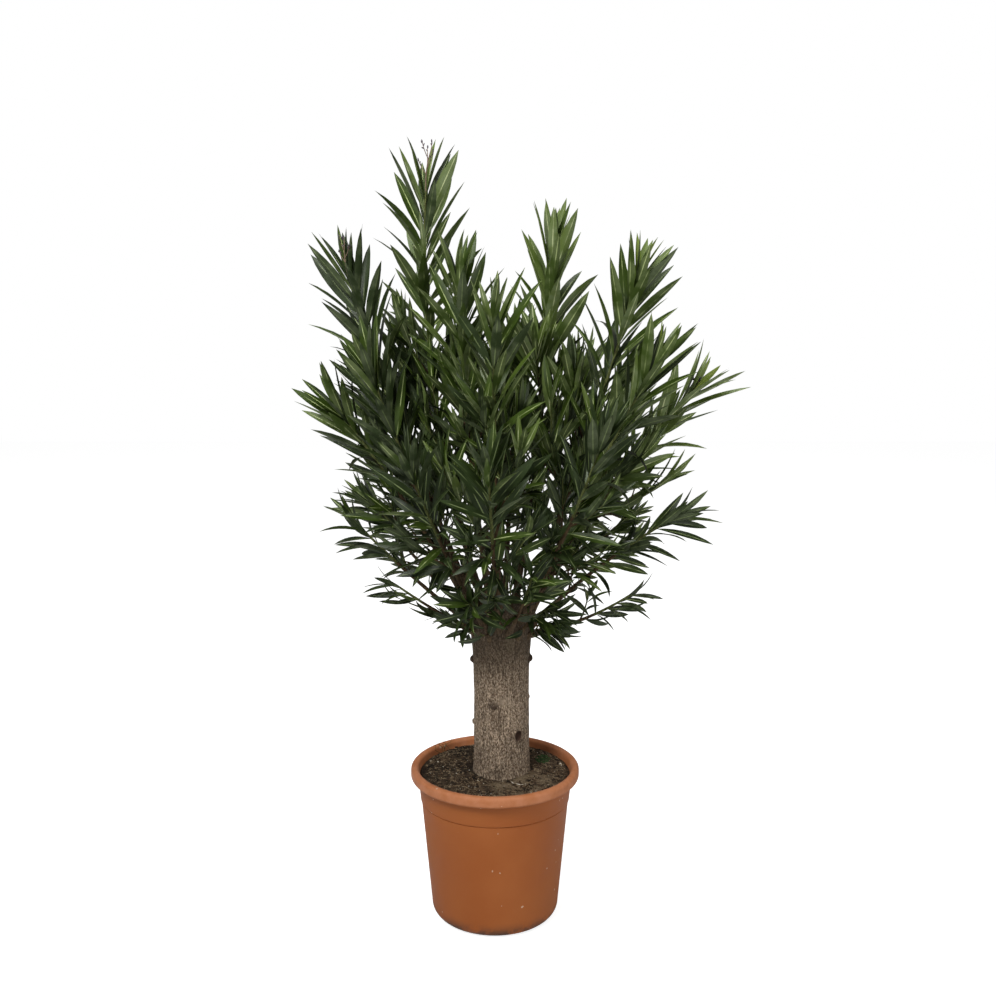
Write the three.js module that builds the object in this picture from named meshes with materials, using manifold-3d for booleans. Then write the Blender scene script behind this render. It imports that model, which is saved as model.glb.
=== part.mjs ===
// A potted oleander: a thick trunk, cut back long ago to a knuckled head, in a round plastic tub.
// Shoots rise from the head. Each is a bare bough with a mass of twigs and leaves beyond it.
// Millimetres, +Z up. The origin is the middle of the tub's flat underside; -Y is the front.
import * as THREE from "three";
import { mergeVertices } from "three/addons/utils/BufferGeometryUtils.js";
import Module from "manifold-3d";

const wasm = await Module();
wasm.setup();

// ---------- driving dimensions ----------

const GAP = 0.3; // between pieces that touch

const POT = {
  height: 370,
  baseRadius: 152, // just above the rounded corner
  topRadius: 180, // under the lip
  corner: 29, // radius of the rounded bottom corner
  wall: 4.5,
  floor: 6,
  bandFoot: 289, // the collar under the lip starts here
  bandStep: 2, // and stands this proud
  lipRadius: 200,
  lipInner: 181,
  lipHeight: 28,
  lipRound: 9,
  sides: 32,
};

const SOIL = {
  level: 359,
  sag: 9, // the compost sinks this far towards the wall
  shoulder: 30, // how far in from the wall it starts to sink
  shoulderSag: 2,
  flatShare: 1.2, // of the trunk's foot: flat ground round it
};

const TRUNK = {
  x: 14, // the trunk stands this far right of the tub's middle
  sides: 18,
  // radius at each height, from the flare at the compost to the rounded head
  profile: [
    [69, SOIL.level + GAP],
    [67, 374],
    [66, 405],
    [65.5, 480],
    [65, 560],
    [66, 618],
    [71, 655],
    [77, 690],
    [77, 722],
    [68, 748],
    [46, 765],
    [0, 772],
  ],
  lobes: 0.022, // share of the radius by which the trunk is out of round
};

// Knuckles where old boughs were cut off, and smaller knots down the trunk. out is how far a
// knot's middle lies from the trunk's axis.
const KNOTS = [
  { azimuth: 190, height: 750, out: 80, radius: 25 },
  { azimuth: 283, height: 736, out: 62, radius: 24 },
  { azimuth: 350, height: 736, out: 64, radius: 21 },
  { azimuth: 100, height: 738, out: 62, radius: 25 },
  { azimuth: 150, height: 728, out: 64, radius: 21 },
  { azimuth: 352, height: 636, out: 65, radius: 11 },
  { azimuth: 184, height: 632, out: 65, radius: 9 },
  { azimuth: 256, height: 538, out: 60, radius: 11 },
  { azimuth: 182, height: 478, out: 63, radius: 7 },
  { azimuth: 356, height: 540, out: 63, radius: 7 },
];
const KNOT_SIDES = 6;
const KNOT_RINGS = 4;

// The head's dome, which the boughs' feet are spread over.
const HEAD = { height: 690, radius: 78, rise: 75, sunk: 0.8, spread: 10.4 };

const LIMB = {
  footRadius: 4, // plus the next share of the shoot's length
  footShare: 0.0045,
  tipRadius: 2.6,
  boughShare: 0.2, // of the shoot is bare bough
  boughSides: 6,
  boughSteps: 4,
  spaceSteps: 16, // straight stretches that stand for a shoot where spaces are shared out
  twigSides: 3,
  stemStep: 95, // length of one straight stretch of a stem
};

const LEAF = {
  low: { height: 700, length: 130 }, // leaves grow longer up the crown
  high: { height: 1250, length: 192 },
  width: 0.27, // of the length
  thickness: 0.028, // of the length
  waist: 0.42, // where a leaf is widest
  sag: 0.16, // of the length, for a fully spread leaf
  whorl: 3,
  young: 0.6, // of the full length, at the tip
  grownBy: 120, // mm below the tip
  firstStep: 36, // between whorls at the tip
  step: 134, // and well below it
  stepGrowth: 28,
  topGap: 4, // above the last whorl
  footGap: 12, // below the first
  closed: 20, // degrees from the stem at the tip
  open: 64, // and well below it
  opensOver: 330, // mm below the tip
  spreads: [0.85, 1.15], // how far leaves differ from those rules
  sizes: [0.88, 1.1],
  turns: [-0.12, 0.12],
};

const TWIG = {
  spacing: 330, // one for each such length of stem
  first: 0.06,
  last: 0.62, // shares of the stem that carry twigs
  share: 0.46, // of the length left above it
  least: 90,
  angle: 42, // degrees from the stem
  lift: 24, // degrees that it bends upwards
  turn: 137.5, // degrees round the stem to the next
  radius: 2.8,
  endRadius: 1.8,
  steps: 3,
  bare: 0.3, // share of a twig below its first whorl
  leafScale: 0.84,
  places: [0.2, 0.8], // how far twigs differ from an even spacing and length
  lengths: [0.8, 1.2],
};

// A leaf that doesn't fit is laid closer to its stem and then cut shorter: [spread, length].
const FITS = [
  [1, 1],
  [0.75, 1],
  [0.7, 0.82],
  [0.5, 0.66],
];
const TWIG_FITS = [1, 0.78, 0.6];
const SEED = 7919;
const OWN = {
  margin: 2.5, // between one mass and its neighbour's space
  clear: 1.5, // between a leaf and a limb
  beyond: 90, // how far a shoot's space runs on past its end
};

const PANICLE = {
  stalk: 74,
  branch: 30,
  last: 9, // length of the stalk's own end
  radius: 1.5,
  branches: 3,
  from: 0.45, // shares of the stalk that carry branches
  to: 0.85,
  steep: 48, // elevation of a branch
  bud: 12,
  budWidth: 6,
};

// Shoots: where each one's stem ends, from the trunk's axis. bow is how many degrees flatter than
// the straight way it leaves the head, and how many degrees steeper it ends.
const SHOOTS = [
  { name: "tall_left", azimuth: 177, reach: 166, height: 1698, bow: 11, flowers: 1 },
  { name: "high_left", azimuth: 183, reach: 338, height: 1518, bow: 3, flowers: 0.8 },
  { name: "inner_left", azimuth: 230, reach: 144, height: 1493, bow: 4 },
  { name: "centre_front", azimuth: 265, reach: 191, height: 1409, bow: 8 },
  { name: "centre_right", azimuth: 27, reach: 131, height: 1562, bow: 5 },
  { name: "high_right", azimuth: 353, reach: 302, height: 1505, bow: 3 },
  { name: "outer_right", azimuth: 338, reach: 358, height: 1332, bow: -2 },
  { name: "far_right", azimuth: 1, reach: 449, height: 1262, bow: -8 },
  { name: "low_right", azimuth: 352, reach: 407, height: 986, bow: -8 },
  { name: "lowest_right", azimuth: 350, reach: 299, height: 798, bow: 12 },
  { name: "far_left", azimuth: 190, reach: 362, height: 1216, bow: -5 },
  { name: "mid_left", azimuth: 207, reach: 310, height: 1303, bow: 4 },
  { name: "low_left", azimuth: 176, reach: 344, height: 959, bow: 5 },
  { name: "lowest_left", azimuth: 192, reach: 245, height: 822, bow: 4 },
  { name: "front", azimuth: 266, reach: 361, height: 1125, bow: 8 },
  { name: "front_left", azimuth: 234, reach: 320, height: 1115, bow: 6 },
  { name: "front_right", azimuth: 312, reach: 316, height: 1175, bow: 6 },
  { name: "front_low", azimuth: 284, reach: 265, height: 888, bow: 8 },
  { name: "back_centre", azimuth: 81, reach: 233, height: 1350, bow: 5 },
  { name: "back_left", azimuth: 140, reach: 339, height: 1217, bow: 6 },
  { name: "back_right", azimuth: 37, reach: 412, height: 1217, bow: 6 },
  { name: "back", azimuth: 92, reach: 360, height: 1100, bow: 8 },
  { name: "back_low_right", azimuth: 52, reach: 386, height: 960, bow: 4 },
  { name: "back_low_left", azimuth: 146, reach: 395, height: 965, bow: 4 },
];

// Skirts are short stems that leave the trunk's flank at their foot's height and arch over.
const SKIRTS = [
  { name: "skirt_right", azimuth: 334, foot: 672, reach: 128, height: 700, bow: -34 },
  { name: "skirt_left", azimuth: 207, foot: 672, reach: 132, height: 714, bow: -34 },
  { name: "skirt_front_left", azimuth: 247, foot: 690, reach: 176, height: 806, bow: -16 },
  { name: "skirt_front_right", azimuth: 305, foot: 690, reach: 182, height: 792, bow: -16 },
  { name: "skirt_back_right", azimuth: 70, foot: 684, reach: 172, height: 790, bow: -16 },
  { name: "skirt_back_left", azimuth: 118, foot: 684, reach: 172, height: 800, bow: -16 },
];

const FINISH = {
  pot: { color: 0x9a5c38, roughness: 0.62, metalness: 0 },
  soil: { color: 0x3a2c20, roughness: 1, metalness: 0 },
  bark: { color: 0x67594a, roughness: 0.95, metalness: 0 },
  bough: { color: 0x5a4a36, roughness: 0.85, metalness: 0 },
  leaves: { color: 0x3c4a26, roughness: 0.55, metalness: 0 },
};

// ---------- small helpers ----------

const radians = THREE.MathUtils.degToRad;
const degrees = THREE.MathUtils.radToDeg;
const mix = THREE.MathUtils.lerp;

// The same run of numbers for the same seed: each call gives one between low and high.
function seeded(seed) {
  let state = seed;
  return (low, high) => {
    state = (state * 16807) % 2147483647;
    return mix(low, high, state / 2147483647);
  };
}

// The unit vector at an azimuth and an elevation in degrees.
function bearing(azimuth, elevation) {
  const flat = Math.cos(radians(elevation));
  return new THREE.Vector3(
    flat * Math.cos(radians(azimuth)),
    flat * Math.sin(radians(azimuth)),
    Math.sin(radians(elevation)),
  );
}

function elevationOf(vector) {
  return degrees(Math.atan2(vector.z, Math.hypot(vector.x, vector.y)));
}

function azimuthOf(vector) {
  return degrees(Math.atan2(vector.y, vector.x));
}

// A closed geometry as a manifold solid: shared vertices merged, collapsed faces dropped.
function solidOf(geometry) {
  const bare = new THREE.BufferGeometry();
  bare.setAttribute("position", geometry.getAttribute("position"));
  bare.setIndex(geometry.getIndex());
  const merged = mergeVertices(bare, 1e-4);
  const corners = merged.getIndex().array;
  const kept = [];
  for (let i = 0; i < corners.length; i += 3) {
    const [a, b, c] = corners.slice(i, i + 3);
    if (a !== b && b !== c && c !== a) kept.push(a, b, c);
  }
  const mesh = new wasm.Mesh({
    numProp: 3,
    vertProperties: merged.getAttribute("position").array,
    triVerts: new Uint32Array(kept),
  });
  return new wasm.Manifold(mesh);
}

// The largest body of a solid, with scraps dropped and sealed hollows filled.
function mainBody(solid) {
  const bodies = solid.decompose();
  return bodies.reduce((best, body) => (body.volume() > best.volume() ? body : best));
}

function geometryOf(solid) {
  const { vertProperties, triVerts } = solid.getMesh();
  const geometry = new THREE.BufferGeometry();
  geometry.setAttribute("position", new THREE.BufferAttribute(vertProperties, 3));
  geometry.setIndex(new THREE.BufferAttribute(triVerts, 1));
  geometry.computeVertexNormals();
  return geometry;
}

function part(name, geometry, finish) {
  const mesh = new THREE.Mesh(geometry, new THREE.MeshStandardMaterial(finish));
  mesh.name = name;
  return mesh;
}

// A profile of [radius, height] pairs turned about the Z axis.
function turned(profile, sides) {
  const points = profile.map(([radius, height]) => new THREE.Vector2(radius, height));
  return new THREE.LatheGeometry(points, sides).rotateX(Math.PI / 2);
}

// Profile points on a quarter turn about (radius, height), from one angle to another.
function arc(radius, height, size, from, to, steps) {
  return Array.from({ length: steps + 1 }, (_, i) => {
    const angle = radians(mix(from, to, i / steps));
    return [radius + size * Math.cos(angle), height + size * Math.sin(angle)];
  });
}

// ---------- tub and compost ----------

// The tub's outer radius at a height above its corner.
function potRadius(height) {
  const share = (height - POT.corner) / (POT.height - POT.lipHeight - POT.corner);
  return mix(POT.baseRadius, POT.topRadius, share);
}

// The inside of the tub's wall, which widens to the lip's bore over its last stretch.
const WIDENS_FROM = POT.height - POT.lipHeight - POT.lipRound;

function boreRadius(height) {
  const share = THREE.MathUtils.clamp((height - WIDENS_FROM) / POT.lipHeight, 0, 1);
  return mix(potRadius(Math.min(height, WIDENS_FROM)) - POT.wall, POT.lipInner, share);
}

function pot() {
  const { corner, bandFoot, bandStep, lipRadius, lipInner, lipRound, height } = POT;
  const lipFoot = height - POT.lipHeight;
  const cornerBore = corner - POT.wall;
  const profile = [
    [0, 0],
    ...arc(POT.baseRadius - corner, corner, corner, -90, 0, 3),
    [potRadius(bandFoot), bandFoot],
    [potRadius(bandFoot) + bandStep, bandFoot + bandStep],
    [potRadius(lipFoot) + bandStep, lipFoot],
    ...arc(lipRadius - lipRound, lipFoot + lipRound, lipRound, -80, 0, 2),
    ...arc(lipRadius - lipRound, height - lipRound, lipRound, 0, 90, 2),
    ...arc(lipInner + lipRound, height - lipRound, lipRound, 120, 180, 1),
    [boreRadius(WIDENS_FROM), WIDENS_FROM],
    ...arc(POT.baseRadius - corner, corner + POT.floor - POT.wall, cornerBore, 0, -90, 1),
    [0, POT.floor],
  ];
  return turned(profile, POT.sides);
}

function soil() {
  const { corner } = POT;
  const size = corner - POT.wall - GAP;
  const edge = SOIL.level - SOIL.sag;
  const profile = [
    [0, POT.floor + GAP],
    ...arc(POT.baseRadius - corner, corner + POT.floor - POT.wall, size, -90, 0, 1),
    [boreRadius(WIDENS_FROM) - GAP, WIDENS_FROM],
    [boreRadius(edge) - GAP, edge],
    [boreRadius(edge) - SOIL.shoulder, SOIL.level - SOIL.shoulderSag],
    [TRUNK.profile[0][0] * SOIL.flatShare, SOIL.level],
    [0, SOIL.level],
  ];
  return turned(profile, POT.sides);
}

// ---------- trunk ----------

// How far the trunk is out of round at an angle and a height, as a share of its radius.
function lobe(angle, height) {
  const twist = height / 240;
  return TRUNK.lobes * (Math.sin(3 * angle + twist) + 0.6 * Math.sin(5 * angle - 2 * twist));
}

// The trunk's turned body, grown outwards by `extra`.
function trunkBody(extra) {
  const foot = TRUNK.profile[0][1] - extra;
  const grown = TRUNK.profile.map(([radius, height], i) => [
    radius > 0 ? radius + extra : 0,
    i === 0 ? foot : height + extra * (1 - radius / HEAD.radius),
  ]);
  const geometry = turned([[0, foot], ...grown], TRUNK.sides);
  const place = geometry.getAttribute("position");
  for (let i = 0; i < place.count; i += 1) {
    const angle = Math.atan2(place.getY(i), place.getX(i));
    const swell = 1 + lobe(angle, place.getZ(i));
    place.setX(i, place.getX(i) * swell);
    place.setY(i, place.getY(i) * swell);
  }
  return geometry;
}

function knotMiddle({ azimuth, height, out }) {
  return bearing(azimuth, 0).multiplyScalar(out).setZ(height);
}

// The trunk and its knots in one, or the same grown outwards to cut its neighbours clear of it.
function trunkSolid(extra = 0) {
  const knots = KNOTS.map((knot) => {
    const ball = new THREE.SphereGeometry(knot.radius + extra, KNOT_SIDES, KNOT_RINGS);
    return solidOf(ball.translate(...knotMiddle(knot)));
  });
  return wasm.Manifold.union([solidOf(trunkBody(extra)), ...knots]);
}

// How far a point stands clear of the turned body's widest outline at its height.
function bodyClearance(point) {
  const { profile, lobes } = TRUNK;
  const upper = profile.findIndex(([, height]) => height > point.z);
  if (upper < 0) return point.z - profile.at(-1)[1];
  if (upper === 0) return profile[0][1] - point.z;
  const [lowRadius, lowHeight] = profile[upper - 1];
  const [highRadius, highHeight] = profile[upper];
  const share = (point.z - lowHeight) / (highHeight - lowHeight);
  const radius = mix(lowRadius, highRadius, share) * (1 + 1.6 * lobes);
  return Math.hypot(point.x, point.y) - radius;
}

function trunkClearance(point) {
  const knots = KNOTS.map((knot) => knotMiddle(knot).distanceTo(point) - knot.radius);
  return Math.min(bodyClearance(point), ...knots);
}

// ---------- limbs ----------

// A limb runs along a curve that lies in the upright plane at its azimuth.
function limb(points, azimuth) {
  const curve = new THREE.CubicBezierCurve3(...points);
  return { curve, side: bearing(azimuth + 90, 0), length: curve.getLength() };
}

// The curve of a shoot, from inside the head or the trunk's flank to the end of its stem.
function shootLimb({ azimuth, reach, height, bow, foot }) {
  const tip = bearing(azimuth, 0).multiplyScalar(reach).setZ(height);
  const root = new THREE.Vector3();
  if (foot) {
    root.copy(bearing(azimuth, 0)).multiplyScalar(HEAD.radius * HEAD.sunk).setZ(foot);
  } else {
    const steepness = degrees(Math.atan2(height - HEAD.height, reach));
    const polar = HEAD.spread * Math.sqrt(90 - steepness);
    root.copy(bearing(azimuth, 90 - polar)).multiplyScalar(HEAD.radius * HEAD.sunk);
    root.z = root.z * (HEAD.rise / HEAD.radius) + HEAD.height;
  }
  const chord = tip.clone().sub(root);
  const steep = elevationOf(chord);
  const third = chord.length() / 3;
  const leave = root.clone().addScaledVector(bearing(azimuth, steep - bow), third);
  const arrive = tip.clone().addScaledVector(bearing(azimuth, steep + bow), -third);
  return limb([root, leave, arrive, tip], azimuth);
}

// The curve of a twig, from its start through a steady bend upwards.
function twigLimb(start, azimuth, elevation, length) {
  const points = [start];
  for (const share of [0, 0.5, 1]) {
    const step = bearing(azimuth, elevation + TWIG.lift * share).multiplyScalar(length / 3);
    points.push(points.at(-1).clone().add(step));
  }
  return limb(points, azimuth);
}

// The point, direction and two cross directions at a share of a limb's length.
function frameAt({ curve, side }, share) {
  const along = curve.getTangentAt(share);
  const over = side.clone().cross(along);
  return { point: curve.getPointAt(share), along, side, over };
}

// A tapered rod along a limb, between two shares of its length.
function rod(path, from, to, startRadius, endRadius, sides, steps) {
  const geometry = new THREE.CylinderGeometry(endRadius, startRadius, 1, sides, steps);
  const place = geometry.getAttribute("position");
  for (let i = 0; i < place.count; i += 1) {
    const { point, side, over } = frameAt(path, mix(from, to, place.getY(i) + 0.5));
    point.addScaledVector(side, place.getX(i)).addScaledVector(over, place.getZ(i));
    place.setXYZ(i, point.x, point.y, point.z);
  }
  return geometry;
}

// ---------- each mass's own space ----------

function footRadius(path) {
  return LIMB.footRadius + LIMB.footShare * path.length;
}

function radiusAt(path, share) {
  return mix(footRadius(path), LIMB.tipRadius, share);
}

function distanceTo(point, stretches) {
  const near = new THREE.Vector3();
  let least = Infinity;
  for (const stretch of stretches) {
    stretch.closestPointToPoint(point, true, near);
    least = Math.min(least, near.distanceToSquared(point));
  }
  return Math.sqrt(least);
}

function stretchesOf(curve, from, to, count) {
  const at = (i) => curve.getPointAt(mix(from, to, i / count));
  return Array.from({ length: count }, (_, i) => new THREE.Line3(at(i), at(i + 1)));
}

// The stretch past a shoot's end that its last leaves fill.
function beyond(path) {
  const { point, along } = frameAt(path, 1);
  return new THREE.Line3(point, point.clone().addScaledVector(along, OWN.beyond));
}

const shoots = [...SHOOTS, ...SKIRTS].map((row, i) => {
  const path = shootLimb(row);
  const boughShare = row.foot ? 0 : LIMB.boughShare;
  return {
    ...row,
    path,
    boughShare,
    seed: SEED * (i + 1),
    line: [...stretchesOf(path.curve, 0, 1, LIMB.spaceSteps), beyond(path)],
    boughLine: stretchesOf(path.curve, 0, boughShare, LIMB.boughSteps),
  };
});

// Whether a point lies nearer to its own shoot than to any other, and clear of every limb.
function inOwnSpace(point, shoot) {
  if (trunkClearance(point) < OWN.clear) return false;
  const own = distanceTo(point, shoot.line);
  const bough = distanceTo(point, shoot.boughLine);
  if (shoot.boughShare > 0 && bough < footRadius(shoot.path) + OWN.clear) return false;
  return shoots.every(
    (other) => other === shoot || distanceTo(point, other.line) > own + 2 * OWN.margin,
  );
}

// ---------- leaves, twigs and flower stalks ----------

// An octahedron drawn out into a blade along +X, widest at the waist, its tip bent down.
function blade(length, width, thickness, sag) {
  const geometry = new THREE.OctahedronGeometry(1);
  const place = geometry.getAttribute("position");
  for (let i = 0; i < place.count; i += 1) {
    const x = place.getX(i);
    const along = LEAF.waist + x * (x > 0 ? 1 - LEAF.waist : LEAF.waist);
    const drop = sag * along * along;
    place.setXYZ(
      i,
      along * length,
      (place.getY(i) * width) / 2,
      (place.getZ(i) * thickness) / 2 - drop,
    );
  }
  return geometry;
}

// Points all over a blade, for testing where it reaches.
function probes(geometry) {
  const place = geometry.getAttribute("position");
  const corners = Array.from({ length: place.count }, (_, i) =>
    new THREE.Vector3().fromBufferAttribute(place, i),
  );
  const halves = corners.map((corner, i) => corner.clone().lerp(corners[(i + 1) % place.count], 0.5));
  return [...corners, ...halves];
}

function leafLength(height, scale) {
  const share = (height - LEAF.low.height) / (LEAF.high.height - LEAF.low.height);
  return scale * mix(LEAF.low.length, LEAF.high.length, THREE.MathUtils.clamp(share, 0, 1));
}

// One leaf at an angle round a stem, or nothing where none fits.
function leaf(shoot, frame, radius, turn, spread, scale) {
  const { point, along, side, over } = frame;
  const out = side.clone().multiplyScalar(Math.cos(turn)).addScaledVector(over, Math.sin(turn));
  const root = point.clone().addScaledVector(out, 0.1 * radius);
  for (const [spreadFit, lengthFit] of FITS) {
    const angle = radians(spread * spreadFit);
    const length = leafLength(point.z, scale * lengthFit);
    const reach = along.clone().multiplyScalar(Math.cos(angle)).addScaledVector(out, Math.sin(angle));
    const across = along.clone().cross(out).normalize();
    const face = reach.clone().cross(across);
    const sag = length * LEAF.sag * Math.sin(angle);
    const geometry = blade(length, length * LEAF.width, length * LEAF.thickness, sag);
    geometry.applyMatrix4(new THREE.Matrix4().makeBasis(reach, across, face).setPosition(root));
    if (probes(geometry).every((probe) => inOwnSpace(probe, shoot))) return geometry;
  }
  return null;
}

// Whorls of leaves down a limb from its tip, upright there and opening further down.
function whorls(shoot, path, radius, start, scale, draw) {
  const made = [];
  let below = LEAF.topGap;
  let turn = draw(0, Math.PI);
  for (let row = 0; below < path.length * (1 - start) - LEAF.footGap; row += 1) {
    const open = Math.min(1, below / LEAF.opensOver);
    const frame = frameAt(path, 1 - below / path.length);
    for (let i = 0; i < LEAF.whorl; i += 1) {
      const spread = mix(LEAF.closed, LEAF.open, Math.sqrt(open)) * draw(...LEAF.spreads);
      const grown = mix(LEAF.young, 1, Math.min(1, below / LEAF.grownBy));
      const size = scale * grown * draw(...LEAF.sizes);
      const round = turn + ((i + draw(...LEAF.turns)) * 2 * Math.PI) / LEAF.whorl;
      made.push(leaf(shoot, frame, radius, round, spread, size));
    }
    turn += Math.PI / LEAF.whorl;
    below += Math.min(LEAF.step, LEAF.firstStep + row * LEAF.stepGrowth);
  }
  return made;
}

// Twigs turn round the stem one after another. One that leaves its space is cut shorter.
function twigs(shoot, draw) {
  const { path } = shoot;
  const made = [];
  const bare = shoot.boughShare;
  const count = Math.round((path.length * (1 - bare)) / TWIG.spacing);
  let turn = draw(0, 360);
  for (let i = 0; i < count; i += 1) {
    const share = mix(bare, 1, mix(TWIG.first, TWIG.last, (i + draw(...TWIG.places)) / count));
    const { point, along, side, over } = frameAt(path, share);
    const round = radians(turn);
    const way = side.clone().multiplyScalar(Math.cos(round)).addScaledVector(over, Math.sin(round));
    way.multiplyScalar(Math.tan(radians(TWIG.angle))).add(along);
    const above = path.length * (1 - share);
    const wanted = Math.max(TWIG.least, above * TWIG.share * draw(...TWIG.lengths));
    turn += TWIG.turn;
    for (const fit of TWIG_FITS) {
      const twig = twigLimb(point, azimuthOf(way), elevationOf(way), wanted * fit);
      const line = twig.curve.getSpacedPoints(TWIG.steps * 2).slice(1);
      if (!line.every((place) => inOwnSpace(place, shoot))) continue;
      made.push(rod(twig, 0, 1, TWIG.radius, TWIG.endRadius, LIMB.twigSides, TWIG.steps));
      made.push(...whorls(shoot, twig, TWIG.endRadius, TWIG.bare, TWIG.leafScale, draw));
      break;
    }
  }
  return made;
}

// A stalk of small buds that stands above the stem's last leaves.
function panicle(shoot, scale) {
  const { point, along } = frameAt(shoot.path, 1);
  const start = point.clone().addScaledVector(along, -LIMB.tipRadius);
  const stalk = twigLimb(start, shoot.azimuth, elevationOf(along), PANICLE.stalk * scale);
  const made = [rod(stalk, 0, 1, PANICLE.radius * 1.3, PANICLE.radius, LIMB.twigSides, 1)];
  for (let i = 0; i <= PANICLE.branches; i += 1) {
    const last = i === PANICLE.branches;
    const share = last ? 0.97 : mix(PANICLE.from, PANICLE.to, i / PANICLE.branches);
    const frame = frameAt(stalk, share);
    const turn = last ? shoot.azimuth : shoot.azimuth + i * TWIG.turn;
    const steep = last ? elevationOf(frame.along) : PANICLE.steep;
    const length = scale * (last ? PANICLE.last : PANICLE.branch);
    const branch = twigLimb(frame.point, turn, steep, length);
    const end = frameAt(branch, 0.9);
    const bud = blade(PANICLE.bud, PANICLE.budWidth, PANICLE.budWidth, 0);
    const basis = new THREE.Matrix4().makeBasis(end.along, end.side, end.along.clone().cross(end.side));
    made.push(rod(branch, 0, 1, PANICLE.radius, PANICLE.radius * 0.8, LIMB.twigSides, 1));
    made.push(bud.applyMatrix4(basis.setPosition(end.point)));
  }
  return made;
}

// ---------- boughs and masses ----------

const trunkCutter = trunkSolid(GAP);

function bough({ path, boughShare }) {
  const { boughSides, boughSteps } = LIMB;
  const tip = radiusAt(path, boughShare);
  const whole = rod(path, 0, boughShare, footRadius(path), tip, boughSides, boughSteps);
  return geometryOf(mainBody(solidOf(whole).subtract(trunkCutter)));
}

function mass(shoot) {
  const { path, boughShare, flowers } = shoot;
  const draw = seeded(shoot.seed);
  const start = boughShare + (boughShare > 0 ? GAP / path.length : 0);
  const steps = Math.max(2, Math.round((path.length * (1 - start)) / LIMB.stemStep));
  const thick = boughShare > 0 ? radiusAt(path, start) : LIMB.footRadius;
  const stem = rod(path, start, 1, thick, LIMB.tipRadius, LIMB.twigSides, steps);
  const pieces = [
    ...whorls(shoot, path, LIMB.tipRadius, start, 1, draw),
    ...twigs(shoot, draw),
    ...(flowers ? panicle(shoot, flowers) : []),
  ];
  const solids = [stem, ...pieces.filter(Boolean)].map(solidOf);
  const joined = wasm.Manifold.union(solids);
  return geometryOf(mainBody(boughShare > 0 ? joined : joined.subtract(trunkCutter)));
}

// ---------- the object ----------

const oleander = new THREE.Group();
oleander.add(part("pot", pot(), FINISH.pot));
oleander.add(part("soil", soil(), FINISH.soil));

const plant = new THREE.Group();
plant.position.x = TRUNK.x;
plant.add(part("trunk", geometryOf(trunkSolid()), FINISH.bark));
for (const shoot of shoots) {
  if (shoot.boughShare > 0) plant.add(part(`bough_${shoot.name}`, bough(shoot), FINISH.bough));
  plant.add(part(`leaves_${shoot.name}`, mass(shoot), FINISH.leaves));
}
oleander.add(plant);

export default oleander;
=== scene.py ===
# A potted oleander: tub, compost, an old trunk with a knuckled head, and a crown of leafy shoots.
# Metres, +Z up. The crown grows by the rule of the part's source, with more and finer leaves and twigs.
import math
import bpy
import numpy as np
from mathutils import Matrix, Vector, noise


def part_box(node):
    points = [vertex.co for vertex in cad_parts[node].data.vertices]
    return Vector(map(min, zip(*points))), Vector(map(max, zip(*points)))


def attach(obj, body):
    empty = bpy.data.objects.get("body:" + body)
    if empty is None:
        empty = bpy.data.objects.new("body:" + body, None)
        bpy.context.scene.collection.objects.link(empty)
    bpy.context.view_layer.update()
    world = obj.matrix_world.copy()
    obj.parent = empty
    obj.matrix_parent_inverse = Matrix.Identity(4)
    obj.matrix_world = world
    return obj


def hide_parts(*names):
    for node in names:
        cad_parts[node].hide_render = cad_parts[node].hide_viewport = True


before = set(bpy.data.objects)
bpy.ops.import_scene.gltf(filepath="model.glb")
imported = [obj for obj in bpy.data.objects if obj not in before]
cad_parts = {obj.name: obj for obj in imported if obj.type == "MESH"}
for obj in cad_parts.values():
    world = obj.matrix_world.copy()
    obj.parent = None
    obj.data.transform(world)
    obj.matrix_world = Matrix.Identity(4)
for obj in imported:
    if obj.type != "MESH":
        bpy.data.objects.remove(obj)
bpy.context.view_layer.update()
nodeNames = sorted(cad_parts)
print("frame loaded:", len(nodeNames), "nodes")


# small helpers

def mix(low, high, share):
    return low + (high - low) * share


def unit(rows):
    rows = np.asarray(rows, float)
    return rows / np.maximum(np.linalg.norm(rows, axis=-1, keepdims=True), 1e-9)


def bearing(azimuth, elevation):
    turn = math.radians(azimuth)
    rise = math.radians(elevation)
    return np.array([math.cos(rise) * math.cos(turn), math.cos(rise) * math.sin(turn), math.sin(rise)])


def elevationOf(way):
    return math.degrees(math.atan2(way[2], math.hypot(way[0], way[1])))


def azimuthOf(way):
    return math.degrees(math.atan2(way[1], way[0]))


def seeded(seed):
    # the same run of numbers for the same seed
    state = [seed]

    def draw(low, high):
        state[0] = (state[0] * 16807) % 2147483647
        return mix(low, high, state[0] / 2147483647)

    return draw


def paint(red, green, blue):
    # 0-255 screen values as the linear colour a shader wants
    shares = [channel / 255 for channel in (red, green, blue)]
    return tuple(s / 12.92 if s < 0.04045 else ((s + 0.055) / 1.055) ** 2.4 for s in shares) + (1.0,)


def meshPiece(name, points, faces, finishes, replaced=(), finishOfFace=None, sharp=50):
    # a visible piece on the plant's only body, in place of the nodes it replaces
    mesh = bpy.data.meshes.new(name)
    mesh.from_pydata(np.asarray(points).tolist(), [], faces)
    for finish in finishes:
        mesh.materials.append(finish)
    if finishOfFace is not None:
        mesh.polygons.foreach_set("material_index", np.asarray(finishOfFace, dtype=np.int32))
    mesh.shade_smooth()
    mesh.update()
    mesh.set_sharp_from_angle(angle=math.radians(sharp))
    piece = bpy.data.objects.new(name, mesh)
    bpy.context.scene.collection.objects.link(piece)
    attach(piece, "root")
    if replaced:
        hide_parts(*replaced)
    return piece


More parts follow.
